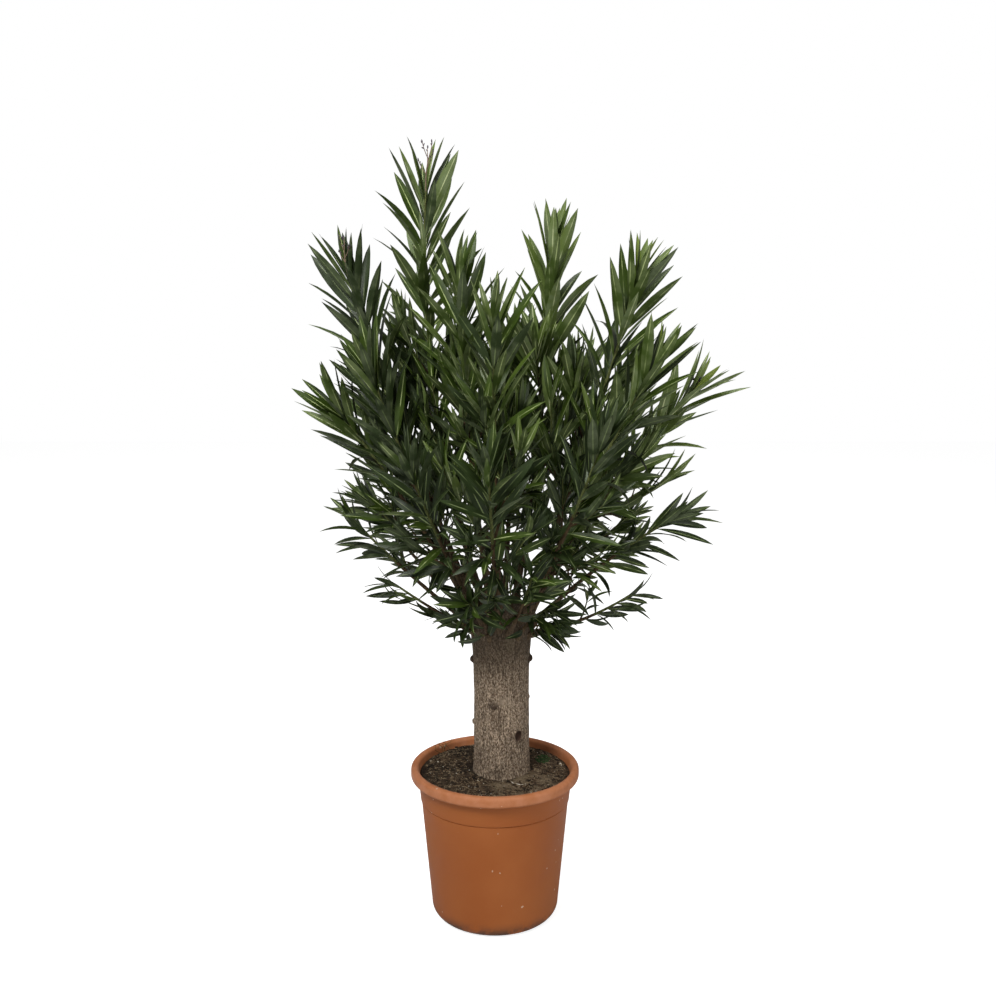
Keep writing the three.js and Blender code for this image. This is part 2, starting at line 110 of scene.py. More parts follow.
def joinParts(parts):
    # parts: (points, faces) pairs as one pair
    points = []
    faces = []
    count = 0
    for partPoints, partFaces in parts:
        points.append(partPoints)
        faces.extend([tuple(corner + count for corner in face) for face in partFaces])
        count += len(partPoints)
    return np.concatenate(points), faces


# camera, light and floor

view = {
    "place": (0.0072, -2.755, 1.495),
    "tilt": 80.0,  # degrees from straight down
    "lens": 43.88,
    "sensor": 36.0,
}

studio = {
    "backdrop": 1.0,  # how bright the white backdrop looks
    "skyStrength": 0.26,  # and how much light it gives
    "skyColor": (1.0, 1.0, 1.0, 1.0),
    "lamps": [
        # name, place, aimed at, size, watts
        ("keyLamp", (-1.7, -2.8, 4.0), (0.0, 0.0, 1.0), 1.7, 162),
        ("fillLamp", (2.8, -2.6, 2.4), (0.0, 0.0, 0.9), 2.2, 52),
        ("topLamp", (0.2, 0.4, 4.6), (0.0, 0.0, 1.2), 2.2, 80),
    ],
    "floorHalf": 9.0,
    "floorColor": (0.62, 0.62, 0.62, 1.0),
    "floorRoughness": 0.9,
    "floorGlow": 0.80,  # keeps the floor as pale as the backdrop
}


def addCamera():
    lens = bpy.data.cameras.new("viewCamera")
    lens.sensor_width = view["sensor"]
    lens.lens = view["lens"]
    camera = bpy.data.objects.new("viewCamera", lens)
    camera.location = view["place"]
    camera.rotation_euler = (math.radians(view["tilt"]), 0.0, 0.0)
    bpy.context.scene.collection.objects.link(camera)
    bpy.context.scene.camera = camera


def seenOnly(tree, light, seen):
    # one number for the light a thing gives, another for how bright it looks
    path = tree.nodes.new("ShaderNodeLightPath")
    share = tree.nodes.new("ShaderNodeMapRange")
    share.inputs["To Min"].default_value = light
    share.inputs["To Max"].default_value = seen
    tree.links.new(path.outputs["Is Camera Ray"], share.inputs["Value"])
    return share.outputs["Result"]


def addStudio():
    scene = bpy.context.scene
    scene.view_settings.view_transform = "Standard"
    world = bpy.data.worlds.new("studioWorld")
    world.use_nodes = True
    sky = world.node_tree.nodes["Background"]
    sky.inputs["Color"].default_value = studio["skyColor"]
    strength = seenOnly(world.node_tree, studio["skyStrength"], studio["backdrop"])
    world.node_tree.links.new(strength, sky.inputs["Strength"])
    scene.world = world
    for name, place, target, size, power in studio["lamps"]:
        light = bpy.data.lights.new(name, "AREA")
        light.shape = "DISK"
        light.size = size
        light.energy = power
        lamp = bpy.data.objects.new(name, light)
        lamp.location = place
        lamp.rotation_euler = (Vector(target) - Vector(place)).to_track_quat("-Z", "Y").to_euler()
        scene.collection.objects.link(lamp)


def addFloor():
    half = studio["floorHalf"]
    mesh = bpy.data.meshes.new("studioFloor")
    corners = [(-half, -half, 0.0), (half, -half, 0.0), (half, half, 0.0), (-half, half, 0.0)]
    mesh.from_pydata(corners, [], [(0, 1, 2, 3)])
    finish = bpy.data.materials.new("floorFinish")
    finish.use_nodes = True
    tree = finish.node_tree
    shader = tree.nodes["Principled BSDF"]
    shader.inputs["Base Color"].default_value = studio["floorColor"]
    shader.inputs["Roughness"].default_value = studio["floorRoughness"]
    shader.inputs["Emission Color"].default_value = studio["skyColor"]
    tree.links.new(seenOnly(tree, 0.0, studio["floorGlow"]), shader.inputs["Emission Strength"])
    mesh.materials.append(finish)
    floor = bpy.data.objects.new("studioFloor", mesh)
    bpy.context.scene.collection.objects.link(floor)


addCamera()
addStudio()
addFloor()
print("camera, light and floor set")


# shader groups

def newGroup(name, inputs, outputs):
    tree = bpy.data.node_groups.new(name, "ShaderNodeTree")
    for label, kind, value in inputs:
        socket = tree.interface.new_socket(label, in_out="INPUT", socket_type=kind)
        if value is not None:
            socket.default_value = value
    for label, kind in outputs:
        tree.interface.new_socket(label, in_out="OUTPUT", socket_type=kind)
    return tree, tree.nodes.new("NodeGroupInput"), tree.nodes.new("NodeGroupOutput")


def addNode(tree, kind, **settings):
    node = tree.nodes.new(kind)
    for key, value in settings.items():
        setattr(node, key, value)
    return node


def noiseNode(tree, scale=5.0, detail=3.0, roughness=0.5):
    node = tree.nodes.new("ShaderNodeTexNoise")
    node.inputs["Scale"].default_value = scale
    node.inputs["Detail"].default_value = detail
    node.inputs["Roughness"].default_value = roughness
    return node


def mathNode(tree, operation, first, second, clamp=False):
    # first and second are numbers or sockets
    node = addNode(tree, "ShaderNodeMath", operation=operation, use_clamp=clamp)
    for socket, value in zip(node.inputs, (first, second)):
        if isinstance(value, (int, float)):
            socket.default_value = value
        else:
            tree.links.new(value, socket)
    return node.outputs[0]


def rangeNode(tree, value, low, high, toLow=0.0, toHigh=1.0):
    node = addNode(tree, "ShaderNodeMapRange", clamp=True, interpolation_type="SMOOTHSTEP")
    tree.links.new(value, node.inputs["Value"])
    for label, number in (("From Min", low), ("From Max", high), ("To Min", toLow), ("To Max", toHigh)):
        if isinstance(number, (int, float)):
            node.inputs[label].default_value = number
        else:
            tree.links.new(number, node.inputs[label])
    return node.outputs["Result"]


def mixColors(tree, share, first, second, blend="MIX"):
    node = addNode(tree, "ShaderNodeMix", data_type="RGBA", blend_type=blend)
    for label, value in ((0, share), (6, first), (7, second)):
        if isinstance(value, (int, float, tuple)):
            node.inputs[label].default_value = value
        else:
            tree.links.new(value, node.inputs[label])
    return node.outputs[2]


def mottleGroup():
    # soft patches of two colours, with finer specks of the second
    tree, source, sink = newGroup(
        "mottle",
        [
            ("First", "NodeSocketColor", (0.1, 0.1, 0.1, 1.0)),
            ("Second", "NodeSocketColor", (0.2, 0.2, 0.2, 1.0)),
            ("Scale", "NodeSocketFloat", 20.0),
            ("Stretch", "NodeSocketVector", (1.0, 1.0, 1.0)),
            ("Specks", "NodeSocketFloat", 0.3),
        ],
        [("Color", "NodeSocketColor"), ("Mask", "NodeSocketFloat")],
    )
    place = addNode(tree, "ShaderNodeTexCoord")
    stretch = addNode(tree, "ShaderNodeVectorMath", operation="MULTIPLY")
    tree.links.new(place.outputs["Object"], stretch.inputs[0])
    tree.links.new(source.outputs["Stretch"], stretch.inputs[1])
    patches = noiseNode(tree, detail=2.0)
    specks = noiseNode(tree, detail=1.0)
    fineScale = mathNode(tree, "MULTIPLY", source.outputs["Scale"], 9.0)
    for node, scale in ((patches, source.outputs["Scale"]), (specks, fineScale)):
        tree.links.new(stretch.outputs[0], node.inputs["Vector"])
        tree.links.new(scale, node.inputs["Scale"])
    broad = rangeNode(tree, patches.outputs["Fac"], 0.36, 0.64)
    fine = rangeNode(tree, specks.outputs["Fac"], 0.5, 0.68)
    share = mathNode(tree, "MULTIPLY", fine, source.outputs["Specks"])
    mask = mathNode(tree, "ADD", broad, share, clamp=True)
    color = mixColors(tree, mask, source.outputs["First"], source.outputs["Second"])
    tree.links.new(color, sink.inputs["Color"])
    tree.links.new(mask, sink.inputs["Mask"])
    return tree


def fissureGroup():
    # dark cracks that run up a limb, as a mask and a height
    tree, source, sink = newGroup(
        "fissure",
        [
            ("Scale", "NodeSocketFloat", 90.0),
            ("Stretch", "NodeSocketVector", (1.0, 1.0, 0.12)),
            ("Width", "NodeSocketFloat", 0.09),
        ],
        [("Mask", "NodeSocketFloat"), ("Height", "NodeSocketFloat")],
    )
    place = addNode(tree, "ShaderNodeTexCoord")
    wander = noiseNode(tree, scale=14.0, detail=2.0)
    tree.links.new(place.outputs["Object"], wander.inputs["Vector"])
    shift = addNode(tree, "ShaderNodeVectorMath", operation="SCALE")
    shift.inputs["Scale"].default_value = 0.012
    tree.links.new(wander.outputs["Color"], shift.inputs[0])
    moved = addNode(tree, "ShaderNodeVectorMath", operation="ADD")
    tree.links.new(place.outputs["Object"], moved.inputs[0])
    tree.links.new(shift.outputs[0], moved.inputs[1])
    stretch = addNode(tree, "ShaderNodeVectorMath", operation="MULTIPLY")
    tree.links.new(moved.outputs[0], stretch.inputs[0])
    tree.links.new(source.outputs["Stretch"], stretch.inputs[1])
    bands = noiseNode(tree, detail=2.5, roughness=0.6)
    tree.links.new(stretch.outputs[0], bands.inputs["Vector"])
    tree.links.new(source.outputs["Scale"], bands.inputs["Scale"])
    middle = mathNode(tree, "SUBTRACT", bands.outputs["Fac"], 0.5)
    near = mathNode(tree, "ABSOLUTE", middle, 0.0)
    height = rangeNode(tree, near, 0.0, source.outputs["Width"])
    mask = mathNode(tree, "SUBTRACT", 1.0, height)
    tree.links.new(mask, sink.inputs["Mask"])
    tree.links.new(height, sink.inputs["Height"])
    return tree


def grainGroup():
    # an all-over fine relief
    tree, source, sink = newGroup(
        "grain",
        [("Scale", "NodeSocketFloat", 300.0), ("Stretch", "NodeSocketVector", (1.0, 1.0, 1.0))],
        [("Height", "NodeSocketFloat")],
    )
    place = addNode(tree, "ShaderNodeTexCoord")
    stretch = addNode(tree, "ShaderNodeVectorMath", operation="MULTIPLY")
    tree.links.new(place.outputs["Object"], stretch.inputs[0])
    tree.links.new(source.outputs["Stretch"], stretch.inputs[1])
    bumps = noiseNode(tree, detail=3.0, roughness=0.6)
    tree.links.new(stretch.outputs[0], bumps.inputs["Vector"])
    tree.links.new(source.outputs["Scale"], bumps.inputs["Scale"])
    tree.links.new(bumps.outputs["Fac"], sink.inputs["Height"])
    return tree


groups = {"mottle": mottleGroup(), "fissure": fissureGroup(), "grain": grainGroup()}


class Finish:
    # a material with its shader at hand, and short ways to place the groups in it
    def __init__(self, name, roughness=0.6, specular=0.5):
        self.material = bpy.data.materials.new(name)
        self.material.use_nodes = True
        self.tree = self.material.node_tree
        self.shader = self.tree.nodes["Principled BSDF"]
        self.shader.inputs["Roughness"].default_value = roughness
        self.shader.inputs["Specular IOR Level"].default_value = specular

    def group(self, kind, **values):
        node = self.tree.nodes.new("ShaderNodeGroup")
        node.node_tree = groups[kind]
        for label, value in values.items():
            if isinstance(value, bpy.types.NodeSocket):
                self.tree.links.new(value, node.inputs[label])
            else:
                node.inputs[label].default_value = value
        return node

    def color(self, socket):
        self.tree.links.new(socket, self.shader.inputs["Base Color"])

    def roughness(self, mask, low, high):
        socket = rangeNode(self.tree, mask, 0.0, 1.0, low, high)
        self.tree.links.new(socket, self.shader.inputs["Roughness"])

    def bump(self, height, distance, strength=1.0):
        node = self.tree.nodes.new("ShaderNodeBump")
        node.inputs["Strength"].default_value = strength
        node.inputs["Distance"].default_value = distance
        self.tree.links.new(height, node.inputs["Height"])
        self.tree.links.new(node.outputs["Normal"], self.shader.inputs["Normal"])


def mottledFinish(name, first, second, scale, specks, roughness, specular=0.5):
    # a plain finish in two mottled tones
    finish = Finish(name, roughness, specular)
    tone = finish.group("mottle", First=first, Second=second, Scale=scale, Specks=specks)
    finish.color(tone.outputs["Color"])
    return finish.material


print("shader groups made")


# tub

tub = {
    "sides": 168,
    "baseRadius": 0.152,
    "topRadius": 0.180,
    "corner": 0.029,
    "wall": 0.0045,
    "floor": 0.006,
    "bandFoot": 0.289,
    "bandStep": 0.002,
    "groove": 0.0014,  # how deep the line under the band is
    "straightFrom": 0.06,  # where the wall's even taper starts
    "lipRadius": 0.200,
    "lipInner": 0.181,
    "lipHeight": 0.028,
    "lipRound": 0.009,
    "clay": paint(152, 82, 32),
    "clayPale": paint(158, 89, 40),
    # painted highlight along the rolled lip
    "lipHighlight": paint(198, 136, 100),
    "dirt": paint(70, 54, 42),
    "fleck": paint(206, 184, 158),
    "fleckFrom": 0.852,  # nearer 1 for fewer flecks
    "splashTop": 0.045,  # how high splashed dirt reaches
}


def arcPoints(radius, height, size, start, end, steps):
    turns = np.radians(np.linspace(start, end, steps + 1))
    return [(radius + size * math.cos(turn), height + size * math.sin(turn)) for turn in turns]


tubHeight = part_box("pot")[1].z


def tubRadius(height):
    top = tubHeight - tub["lipHeight"]
    return mix(tub["baseRadius"], tub["topRadius"], (height - tub["corner"]) / (top - tub["corner"]))


def boreRadius(height):
    # the inside of the wall, which widens to the lip over its last stretch
    low = tubHeight - tub["lipHeight"] - tub["lipRound"]
    share = min(1.0, max(0.0, (height - low) / tub["lipHeight"]))
    return mix(tubRadius(min(height, low)) - tub["wall"], tub["lipInner"], share)


def turnedMesh(profile, sides):
    # a closed profile turned about the Z axis; its ends lie on the axis
    inner = profile[1:-1]
    turns = np.linspace(0.0, 2 * math.pi, sides, endpoint=False)
    points = [(0.0, 0.0, profile[0][1])]
    for radius, height in inner:
        points.extend((radius * math.cos(turn), radius * math.sin(turn), height) for turn in turns)
    points.append((0.0, 0.0, profile[-1][1]))
    last = len(points) - 1
    faces = []
    for side in range(sides):
        after = (side + 1) % sides
        faces.append((0, 1 + after, 1 + side))
        for row in range(len(inner) - 1):
            low = 1 + row * sides
            high = low + sides
            faces.append((low + side, low + after, high + after, high + side))
        top = 1 + (len(inner) - 1) * sides
        faces.append((top + side, top + after, last))
    return np.array(points), faces


def tubFinish():
    finish = Finish("tubClay", roughness=0.52, specular=0.3)
    tree = finish.tree
    tone = finish.group("mottle", First=tub["clay"], Second=tub["clayPale"], Scale=6.0, Specks=0.1)
    place = addNode(tree, "ShaderNodeTexCoord")
    parts = addNode(tree, "ShaderNodeSeparateXYZ")
    tree.links.new(place.outputs["Object"], parts.inputs[0])
    # the lip is paler: a painted highlight, broken into patches
    highlightPatches = noiseNode(tree, scale=34.0, detail=4.0, roughness=0.6)
    tree.links.new(place.outputs["Object"], highlightPatches.inputs["Vector"])
    lip = rangeNode(tree, parts.outputs["Z"], tubHeight - tub["lipHeight"], tubHeight - 0.020)
    lipHighlight = mathNode(tree, "MULTIPLY", lip, rangeNode(tree, highlightPatches.outputs["Fac"], 0.30, 0.70, 0.30, 0.60))
    rim = mixColors(tree, lipHighlight, tone.outputs["Color"], tub["lipHighlight"])
    # a few pale flecks
    fleck = noiseNode(tree, scale=95.0, detail=0.0)
    tree.links.new(place.outputs["Object"], fleck.inputs["Vector"])
    rare = rangeNode(tree, fleck.outputs["Fac"], tub["fleckFrom"], tub["fleckFrom"] + 0.008, 0.0, 0.7)
    flecked = mixColors(tree, rare, rim, tub["fleck"])
    # splashed dirt that thins out above the foot
    splash = noiseNode(tree, scale=26.0, detail=5.0, roughness=0.65)
    tree.links.new(place.outputs["Object"], splash.inputs["Vector"])
    low = rangeNode(tree, parts.outputs["Z"], 0.0, tub["splashTop"], 0.95, 0.0)
    patch = rangeNode(tree, splash.outputs["Fac"], 0.38, 0.56)
    dirt = mathNode(tree, "MULTIPLY", low, patch)
    finish.color(mixColors(tree, dirt, flecked, tub["dirt"]))
    finish.roughness(tone.outputs["Mask"], 0.50, 0.62)
    grain = finish.group("grain", Scale=420.0)
    finish.bump(grain.outputs["Height"], 0.0006, 0.35)
    return finish.material


def addTub():
    height = tubHeight
    lipFoot = height - tub["lipHeight"]
    corner = tub["corner"]
    lipRound = tub["lipRound"]
    step = tub["bandStep"]
    ring = tub["lipRadius"] - lipRound
    inner = tub["lipInner"] + lipRound
    bandFoot = tub["bandFoot"]
    bandRadius = tubRadius(bandFoot)
    profile = [(0.0, 0.0), (tub["baseRadius"] * 0.5, 0.0)]
    profile += arcPoints(tub["baseRadius"] - corner, corner, corner, -90, 0, 10)
    profile += [(tubRadius(z), z) for z in np.linspace(tub["straightFrom"], bandFoot - 0.004, 12)]
    # a fine groove under the band
    profile += [
        (bandRadius - 0.0002, bandFoot - 0.0020),
        (bandRadius - tub["groove"], bandFoot - 0.0008),
        (bandRadius - tub["groove"] + 0.0002, bandFoot + 0.0002),
    ]
    profile += arcPoints(bandRadius + step * 0.5, bandFoot + step, step * 0.5, -60, 0, 3)
    profile += [(tubRadius(lipFoot) + step, lipFoot - 0.003)]
    profile += [(tubRadius(lipFoot) + step + 0.001, lipFoot - 0.0006)]
    # the rolled lip, then down the inside to the floor
    profile += arcPoints(ring, lipFoot + lipRound, lipRound, -86, 0, 8)
    profile += arcPoints(ring, height - lipRound, lipRound, 0, 90, 9)
    profile += arcPoints(inner, height - lipRound, lipRound, 90, 180, 9)
    bore = np.linspace(lipFoot - lipRound, tub["straightFrom"], 10)
    profile += [(tubRadius(z) - tub["wall"], z) for z in bore]
    profile += arcPoints(tub["baseRadius"] - corner, corner + 0.0015, corner - tub["wall"], 0, -90, 6)
    profile += [(0.0, tub["floor"])]
    points, faces = turnedMesh(profile, tub["sides"])
    meshPiece("tub", points, faces, [tubFinish()], ["pot"], sharp=40)


addTub()
print("tub made")


# compost

compost = {
    "level": 0.3590,
    "sag": 0.0075,  # how far it falls beside the wall
    "rings": 120,
    "sides": 300,
    "lumps": 0.0030,
    "crumbs": 0.0022,
    "dark": paint(14, 9, 5),
    "mid": paint(84, 67, 50),
    "pale": paint(126, 110, 88),
    "damp": 0.72,  # how dark the damp stretches are
    "sandyAt": (0.070, -0.112),  # the middle of a paler, drier stretch
    "clods": 900,
    "clodSize": (0.0011, 0.0030),  # the least, and how much more
    "grit": 240,
    "gritSize": (0.0007, 0.0010),
    "fibres": 640,
    "fibreLength": (0.004, 0.013),
    "edge": 0.172,  # crumbs lie within this radius
    "clear": 0.074,  # and this far from the trunk's axis
    "fibre": paint(156, 135, 107),
    "stone": paint(216, 208, 192),
    "moss": paint(40, 60, 32),
    "mossPale": paint(62, 84, 48),
    "mossAt": (0.116, 0.058),
    "mossReach": 0.019,
    "mossTufts": 150,
    "weeds": 5,
    "weedsFrom": 132,
    # pale bits and a pebble: x, y and half size
    "stones": [
        (-0.155, 0.045, 0.0032), (-0.138, 0.039, 0.0022), (-0.109, -0.017, 0.0026), (0.082, -0.138, 0.0028),
        (0.157, 0.023, 0.0056), (-0.124, 0.012, 0.0018), (0.118, 0.096, 0.0018), (-0.060, -0.105, 0.0016),
    ],
    "rootlet": [(0.037, -0.076), (0.042, -0.085), (0.049, -0.092), (0.058, -0.096), (0.067, -0.094)],
    "seed": 4177,
}

# the trunk stands a little off the tub's middle
trunkAxis = np.array([0.014, 0.0, 0.0])


def compostHeight(x, y):
    radius = math.hypot(x, y)
    wall = boreRadius(compost["level"] - compost["sag"])
    fall = max(0.0, (radius - wall + 0.030) / 0.030)
    base = compost["level"] - compost["sag"] * fall * fall
    heap = noise.noise(Vector((x * 11, y * 11, 7.7)))
    lump = noise.noise(Vector((x * 42, y * 42, 3.1)))
    crumb = noise.fractal(Vector((x * 150, y * 150, 1.4)), 0.7, 2.1, 3)
    return base + compost["lumps"] * (0.6 * heap + 0.5 * lump) + compost["crumbs"] * 0.5 * crumb - 0.001


def compostFinish():
    finish = Finish("compostCrumb", roughness=0.95, specular=0.15)
    tree = finish.tree
    tone = finish.group("mottle", First=compost["dark"], Second=compost["mid"], Scale=78.0, Specks=0.9)
    place = addNode(tree, "ShaderNodeTexCoord")
    # a sandier stretch in front of the trunk, and damp ones to the left
    apart = addNode(tree, "ShaderNodeVectorMath", operation="DISTANCE")
    tree.links.new(place.outputs["Object"], apart.inputs[0])
    apart.inputs[1].default_value = (*compost["sandyAt"], compost["level"])
    drift = noiseNode(tree, scale=38.0, detail=4.0)
    tree.links.new(place.outputs["Object"], drift.inputs["Vector"])
    near = rangeNode(tree, apart.outputs["Value"], 0.045, 0.115, 0.80, 0.10)
    patch = rangeNode(tree, drift.outputs["Fac"], 0.40, 0.60)
    sandy = mathNode(tree, "MULTIPLY", near, patch)
    damp = noiseNode(tree, scale=13.0, detail=3.0)
    tree.links.new(place.outputs["Object"], damp.inputs["Vector"])
    side = addNode(tree, "ShaderNodeSeparateXYZ")
    tree.links.new(place.outputs["Object"], side.inputs[0])
    wet = mathNode(tree, "SUBTRACT", damp.outputs["Fac"], side.outputs["X"])
    wetShare = rangeNode(tree, wet, 0.44, 0.62, 0.0, compost["damp"])
    soaked = mixColors(tree, wetShare, tone.outputs["Color"], compost["dark"])
    finish.color(mixColors(tree, sandy, soaked, compost["pale"]))
    grain = finish.group("grain", Scale=330.0)
    finish.bump(grain.outputs["Height"], 0.006, 1.0)
    return finish.material


def addCompost():
    outer = boreRadius(compost["level"] - compost["sag"])
    foot = tub["floor"] + 0.0003
    rings = compost["rings"]
    sides = compost["sides"]
    turns = np.linspace(0.0, 2 * math.pi, sides, endpoint=False)
    points = [(0.0, 0.0, compostHeight(0.0, 0.0))]
    for ring in range(1, rings + 1):
        radius = outer * ring / rings
        for turn in turns:
            height = compostHeight(radius * math.cos(turn), radius * math.sin(turn))
            inside = min(radius, boreRadius(height) - 0.0004)
            points.append((inside * math.cos(turn), inside * math.sin(turn), height))
    # the hidden side and underside of the root ball
    bend = tubHeight - tub["lipHeight"] - tub["lipRound"]
    hidden = [
        (boreRadius(bend) - 0.0005, bend),
        (tub["baseRadius"] - tub["wall"] - 0.0006, tub["corner"] + 0.004),
        (tub["baseRadius"] - tub["corner"], foot),
    ]
    for radius, height in hidden:
        points.extend((radius * math.cos(turn), radius * math.sin(turn), height) for turn in turns)
    points.append((0.0, 0.0, foot))
    faces = []
    for side in range(sides):
        after = (side + 1) % sides
        faces.append((0, 1 + side, 1 + after))
        for ring in range(rings + len(hidden) - 1):
            low = 1 + ring * sides
            high = low + sides
            faces.append((low + side, high + side, high + after, low + after))
        last = 1 + (rings + len(hidden) - 1) * sides
        faces.append((last + side, len(points) - 1, last + after))
    meshPiece("compost", points, faces, [compostFinish()], ["soil"], sharp=180)


def lumpMesh(middle, size, squash, draw):
    # a small uneven lump
    points, faces = turnedMesh(arcPoints(0.0, 0.0, 1.0, -90, 90, 4), 6)
    sizes = np.array([draw(0.7, 1.15) for _ in points])
    points = points * sizes[:, None] * np.array([1.0, draw(0.6, 1.0), squash]) * size
    turn = draw(0, 2 * math.pi)
    spin = np.array([[math.cos(turn), math.sin(turn), 0], [-math.sin(turn), math.cos(turn), 0], [0, 0, 1]])
    return points @ spin + np.asarray(middle), faces


def threadMesh(points, size):
    # a thin three-sided thread along a line of points
    points = np.asarray(points, float)
    along = unit(np.gradient(points, axis=0))
    side = unit(np.cross(along, [0.12, 0.07, 1.0]))
    over = np.cross(side, along)
    turns = np.radians([0, 120, 240])
    taper = np.sin(np.linspace(0.35, math.pi - 0.35, len(points)))[:, None, None] ** 0.5
    ring = side[:, None] * np.cos(turns)[None, :, None] + over[:, None] * np.sin(turns)[None, :, None]
    rows = (points[:, None] + ring * size * taper).reshape(-1, 3)
    faces = [(2, 1, 0)]
    for step in range(len(points) - 1):
        a = step * 3
        faces.extend((a + k, a + (k + 1) % 3, a + 3 + (k + 1) % 3, a + 3 + k) for k in range(3))
    last = (len(points) - 1) * 3
    faces.append((last, last + 1, last + 2))
    return rows, faces


def onCompost(draw, clear):
    # a random spot on the compost, clear of trunk and wall
    edge = compost["edge"]
    while True:
        x = draw(-edge, edge)
        y = draw(-edge, edge)
        if math.hypot(x, y) < edge - 0.002 and math.hypot(x - trunkAxis[0], y) > clear:
            return x, y


def addLitter():
    draw = seeded(compost["seed"])
    parts = []
    kinds = []

    def keep(part, kind):
        parts.append(part)
        kinds.extend([kind] * len(part[1]))

    def keepLump(x, y, size, raised, squash, kind):
        keep(lumpMesh((x, y, compostHeight(x, y) + raised), size, squash, draw), kind)

    # kinds: 0 dark clod, 1 brown clod, 2 pale grit, 3 dry fibre, 4 moss
    least, more = compost["clodSize"]
    for i in range(compost["clods"]):
        x, y = onCompost(draw, compost["clear"])
        size = least + more * draw(0, 1) ** 3
        keepLump(x, y, size, size * 0.3, 0.7, 0 if i % 3 else 1)
    least, more = compost["gritSize"]
    for i in range(compost["grit"]):
        x, y = onCompost(draw, compost["clear"])
        size = least + more * draw(0, 1) ** 2
        keepLump(x, y, size, size * 0.5, 0.9, 2 if i % 2 else 3)
    for i in range(compost["fibres"]):
        x, y = onCompost(draw, compost["clear"] + 0.006)
        turn = draw(0, 2 * math.pi)
        curl = draw(-60, 60)
        line = []
        length = draw(*compost["fibreLength"])
        for step in range(4):
            line.append((x, y, compostHeight(x, y) + 0.0007 + 0.0008 * math.sin(step)))
            turn += curl * length
            x += length / 3 * math.cos(turn)
            y += length / 3 * math.sin(turn)
            if math.hypot(x, y) > compost["edge"]:
                break
        if len(line) > 2:
            keep(threadMesh(line, 0.00045), 3)
    for x, y, size in compost["stones"]:
        keepLump(x, y, size, size * 0.5, 0.8, 2)
    rootlet = [(x, y, compostHeight(x, y) + 0.0012) for x, y in compost["rootlet"]]
    keep(threadMesh(rootlet, 0.0013), 2)
    # a few thin weeds behind the rim
    for i in range(compost["weeds"]):
        turn = math.radians(compost["weedsFrom"] + 3.4 * i)
        foot = 0.170 - 0.002 * i
        line = []
        for step in range(5):
            out = foot + step * draw(0.002, 0.006)
            spin = turn + step * draw(-0.03, 0.03)
            line.append((out * math.cos(spin), out * math.sin(spin), 0.352 + step * draw(0.006, 0.009)))
        keep(threadMesh(line, 0.0006), 4)
    # a patch of moss by the wall
    for i in range(compost["mossTufts"]):
        turn = draw(0, 2 * math.pi)
        out = compost["mossReach"] * math.sqrt(draw(0, 1))
        x = compost["mossAt"][0] + out * math.cos(turn) * 0.9
        y = compost["mossAt"][1] + out * math.sin(turn) * 1.3
        keepLump(x, y, draw(0.0015, 0.0028), 0.0010, 0.8, 4)
    points, faces = joinParts(parts)
    materials = []
    for name, first, second in (
        ("darkClod", compost["dark"], compost["mid"]),
        ("brownClod", compost["mid"], compost["pale"]),
        ("paleGrit", compost["stone"], compost["pale"]),
        ("dryFibre", compost["fibre"], compost["pale"]),
        ("mossTuft", compost["moss"], compost["mossPale"]),
    ):
        materials.append(mottledFinish(name, first, second, 160.0, 0.4, roughness=0.9, specular=0.15))
    meshPiece("compost_litter", points, faces, materials, (), kinds, sharp=40)


addCompost()
addLitter()
print("compost made")


# trunk

trunk = {
    "sides": 120,
    "voxel": 0.0020,
    "smoothing": 5,
    # radius at each height, from the flare at the compost to the rounded head
    "profile": [
        (0.0700, 0.345), (0.069, 0.360), (0.067, 0.374), (0.066, 0.405), (0.0655, 0.480), (0.065, 0.560),
        (0.066, 0.618), (0.068, 0.655), (0.071, 0.690), (0.073, 0.722), (0.067, 0.748), (0.046, 0.765),
    ],
    "rows": 90,
    "top": 0.772,
    "foot": 0.350,  # hidden in the compost
    "lobes": 0.022,
    # how deep the cracks are and how wide, then the bark's fine and broad unevenness
    "fissure": 0.0010,
    "crackShare": 0.20,
    "fine": 0.0004,
    "lump": 0.0006,
    "swell": 0.0018,
    "pale": paint(180, 160, 137),
    "mid": paint(106, 88, 70),
    "dark": paint(36, 27, 19),
    "crackScale": 330.0,
    "streakScale": 130.0,
    # painted shade under the crown
    "shaded": paint(62, 51, 37),
    # painted shade inside the old hole
    "holeShade": paint(60, 43, 33),
    "hole": {
        "azimuth": -50, "height": 0.459, "across": 0.0092, "tall": 0.0115, "deep": 0.0085, "edge": 0.022,
    },
    # patches of other tone: azimuth, height, across, tall, share, colour
    "patches": [
        (-50, 0.447, 0.0090, 0.0060, 0.55, paint(62, 48, 36)),
        (256, 0.536, 0.0140, 0.0080, 0.75, paint(52, 40, 30)),
        (262, 0.505, 0.0160, 0.0330, 0.35, paint(70, 56, 43)),
        (281, 0.545, 0.0190, 0.0130, 0.40, paint(150, 134, 114)),
        (262, 0.372, 0.0240, 0.0100, 0.45, paint(60, 47, 36)),
        (287, 0.700, 0.0100, 0.0340, 0.45, paint(118, 106, 86)),
        (352, 0.636, 0.0170, 0.0150, 0.80, paint(54, 40, 30)),
        (184, 0.632, 0.0150, 0.0140, 0.80, paint(58, 44, 34)),
    ],
}

# knuckles where old boughs were cut off, and smaller knots: azimuth, height, out, radius
knots = [
    (190, 0.750, 0.080, 0.025),
    (283, 0.736, 0.062, 0.024),
    (350, 0.736, 0.064, 0.021),
    (100, 0.738, 0.062, 0.025),
    (150, 0.728, 0.064, 0.021),
    (352, 0.636, 0.065, 0.011),
    (184, 0.632, 0.065, 0.009),
    (256, 0.538, 0.060, 0.011),
    (182, 0.478, 0.063, 0.007),
    (356, 0.540, 0.063, 0.007),
]
trunkRadii = np.array([radius for radius, _ in trunk["profile"]])
trunkHeights = np.array([height for _, height in trunk["profile"]])


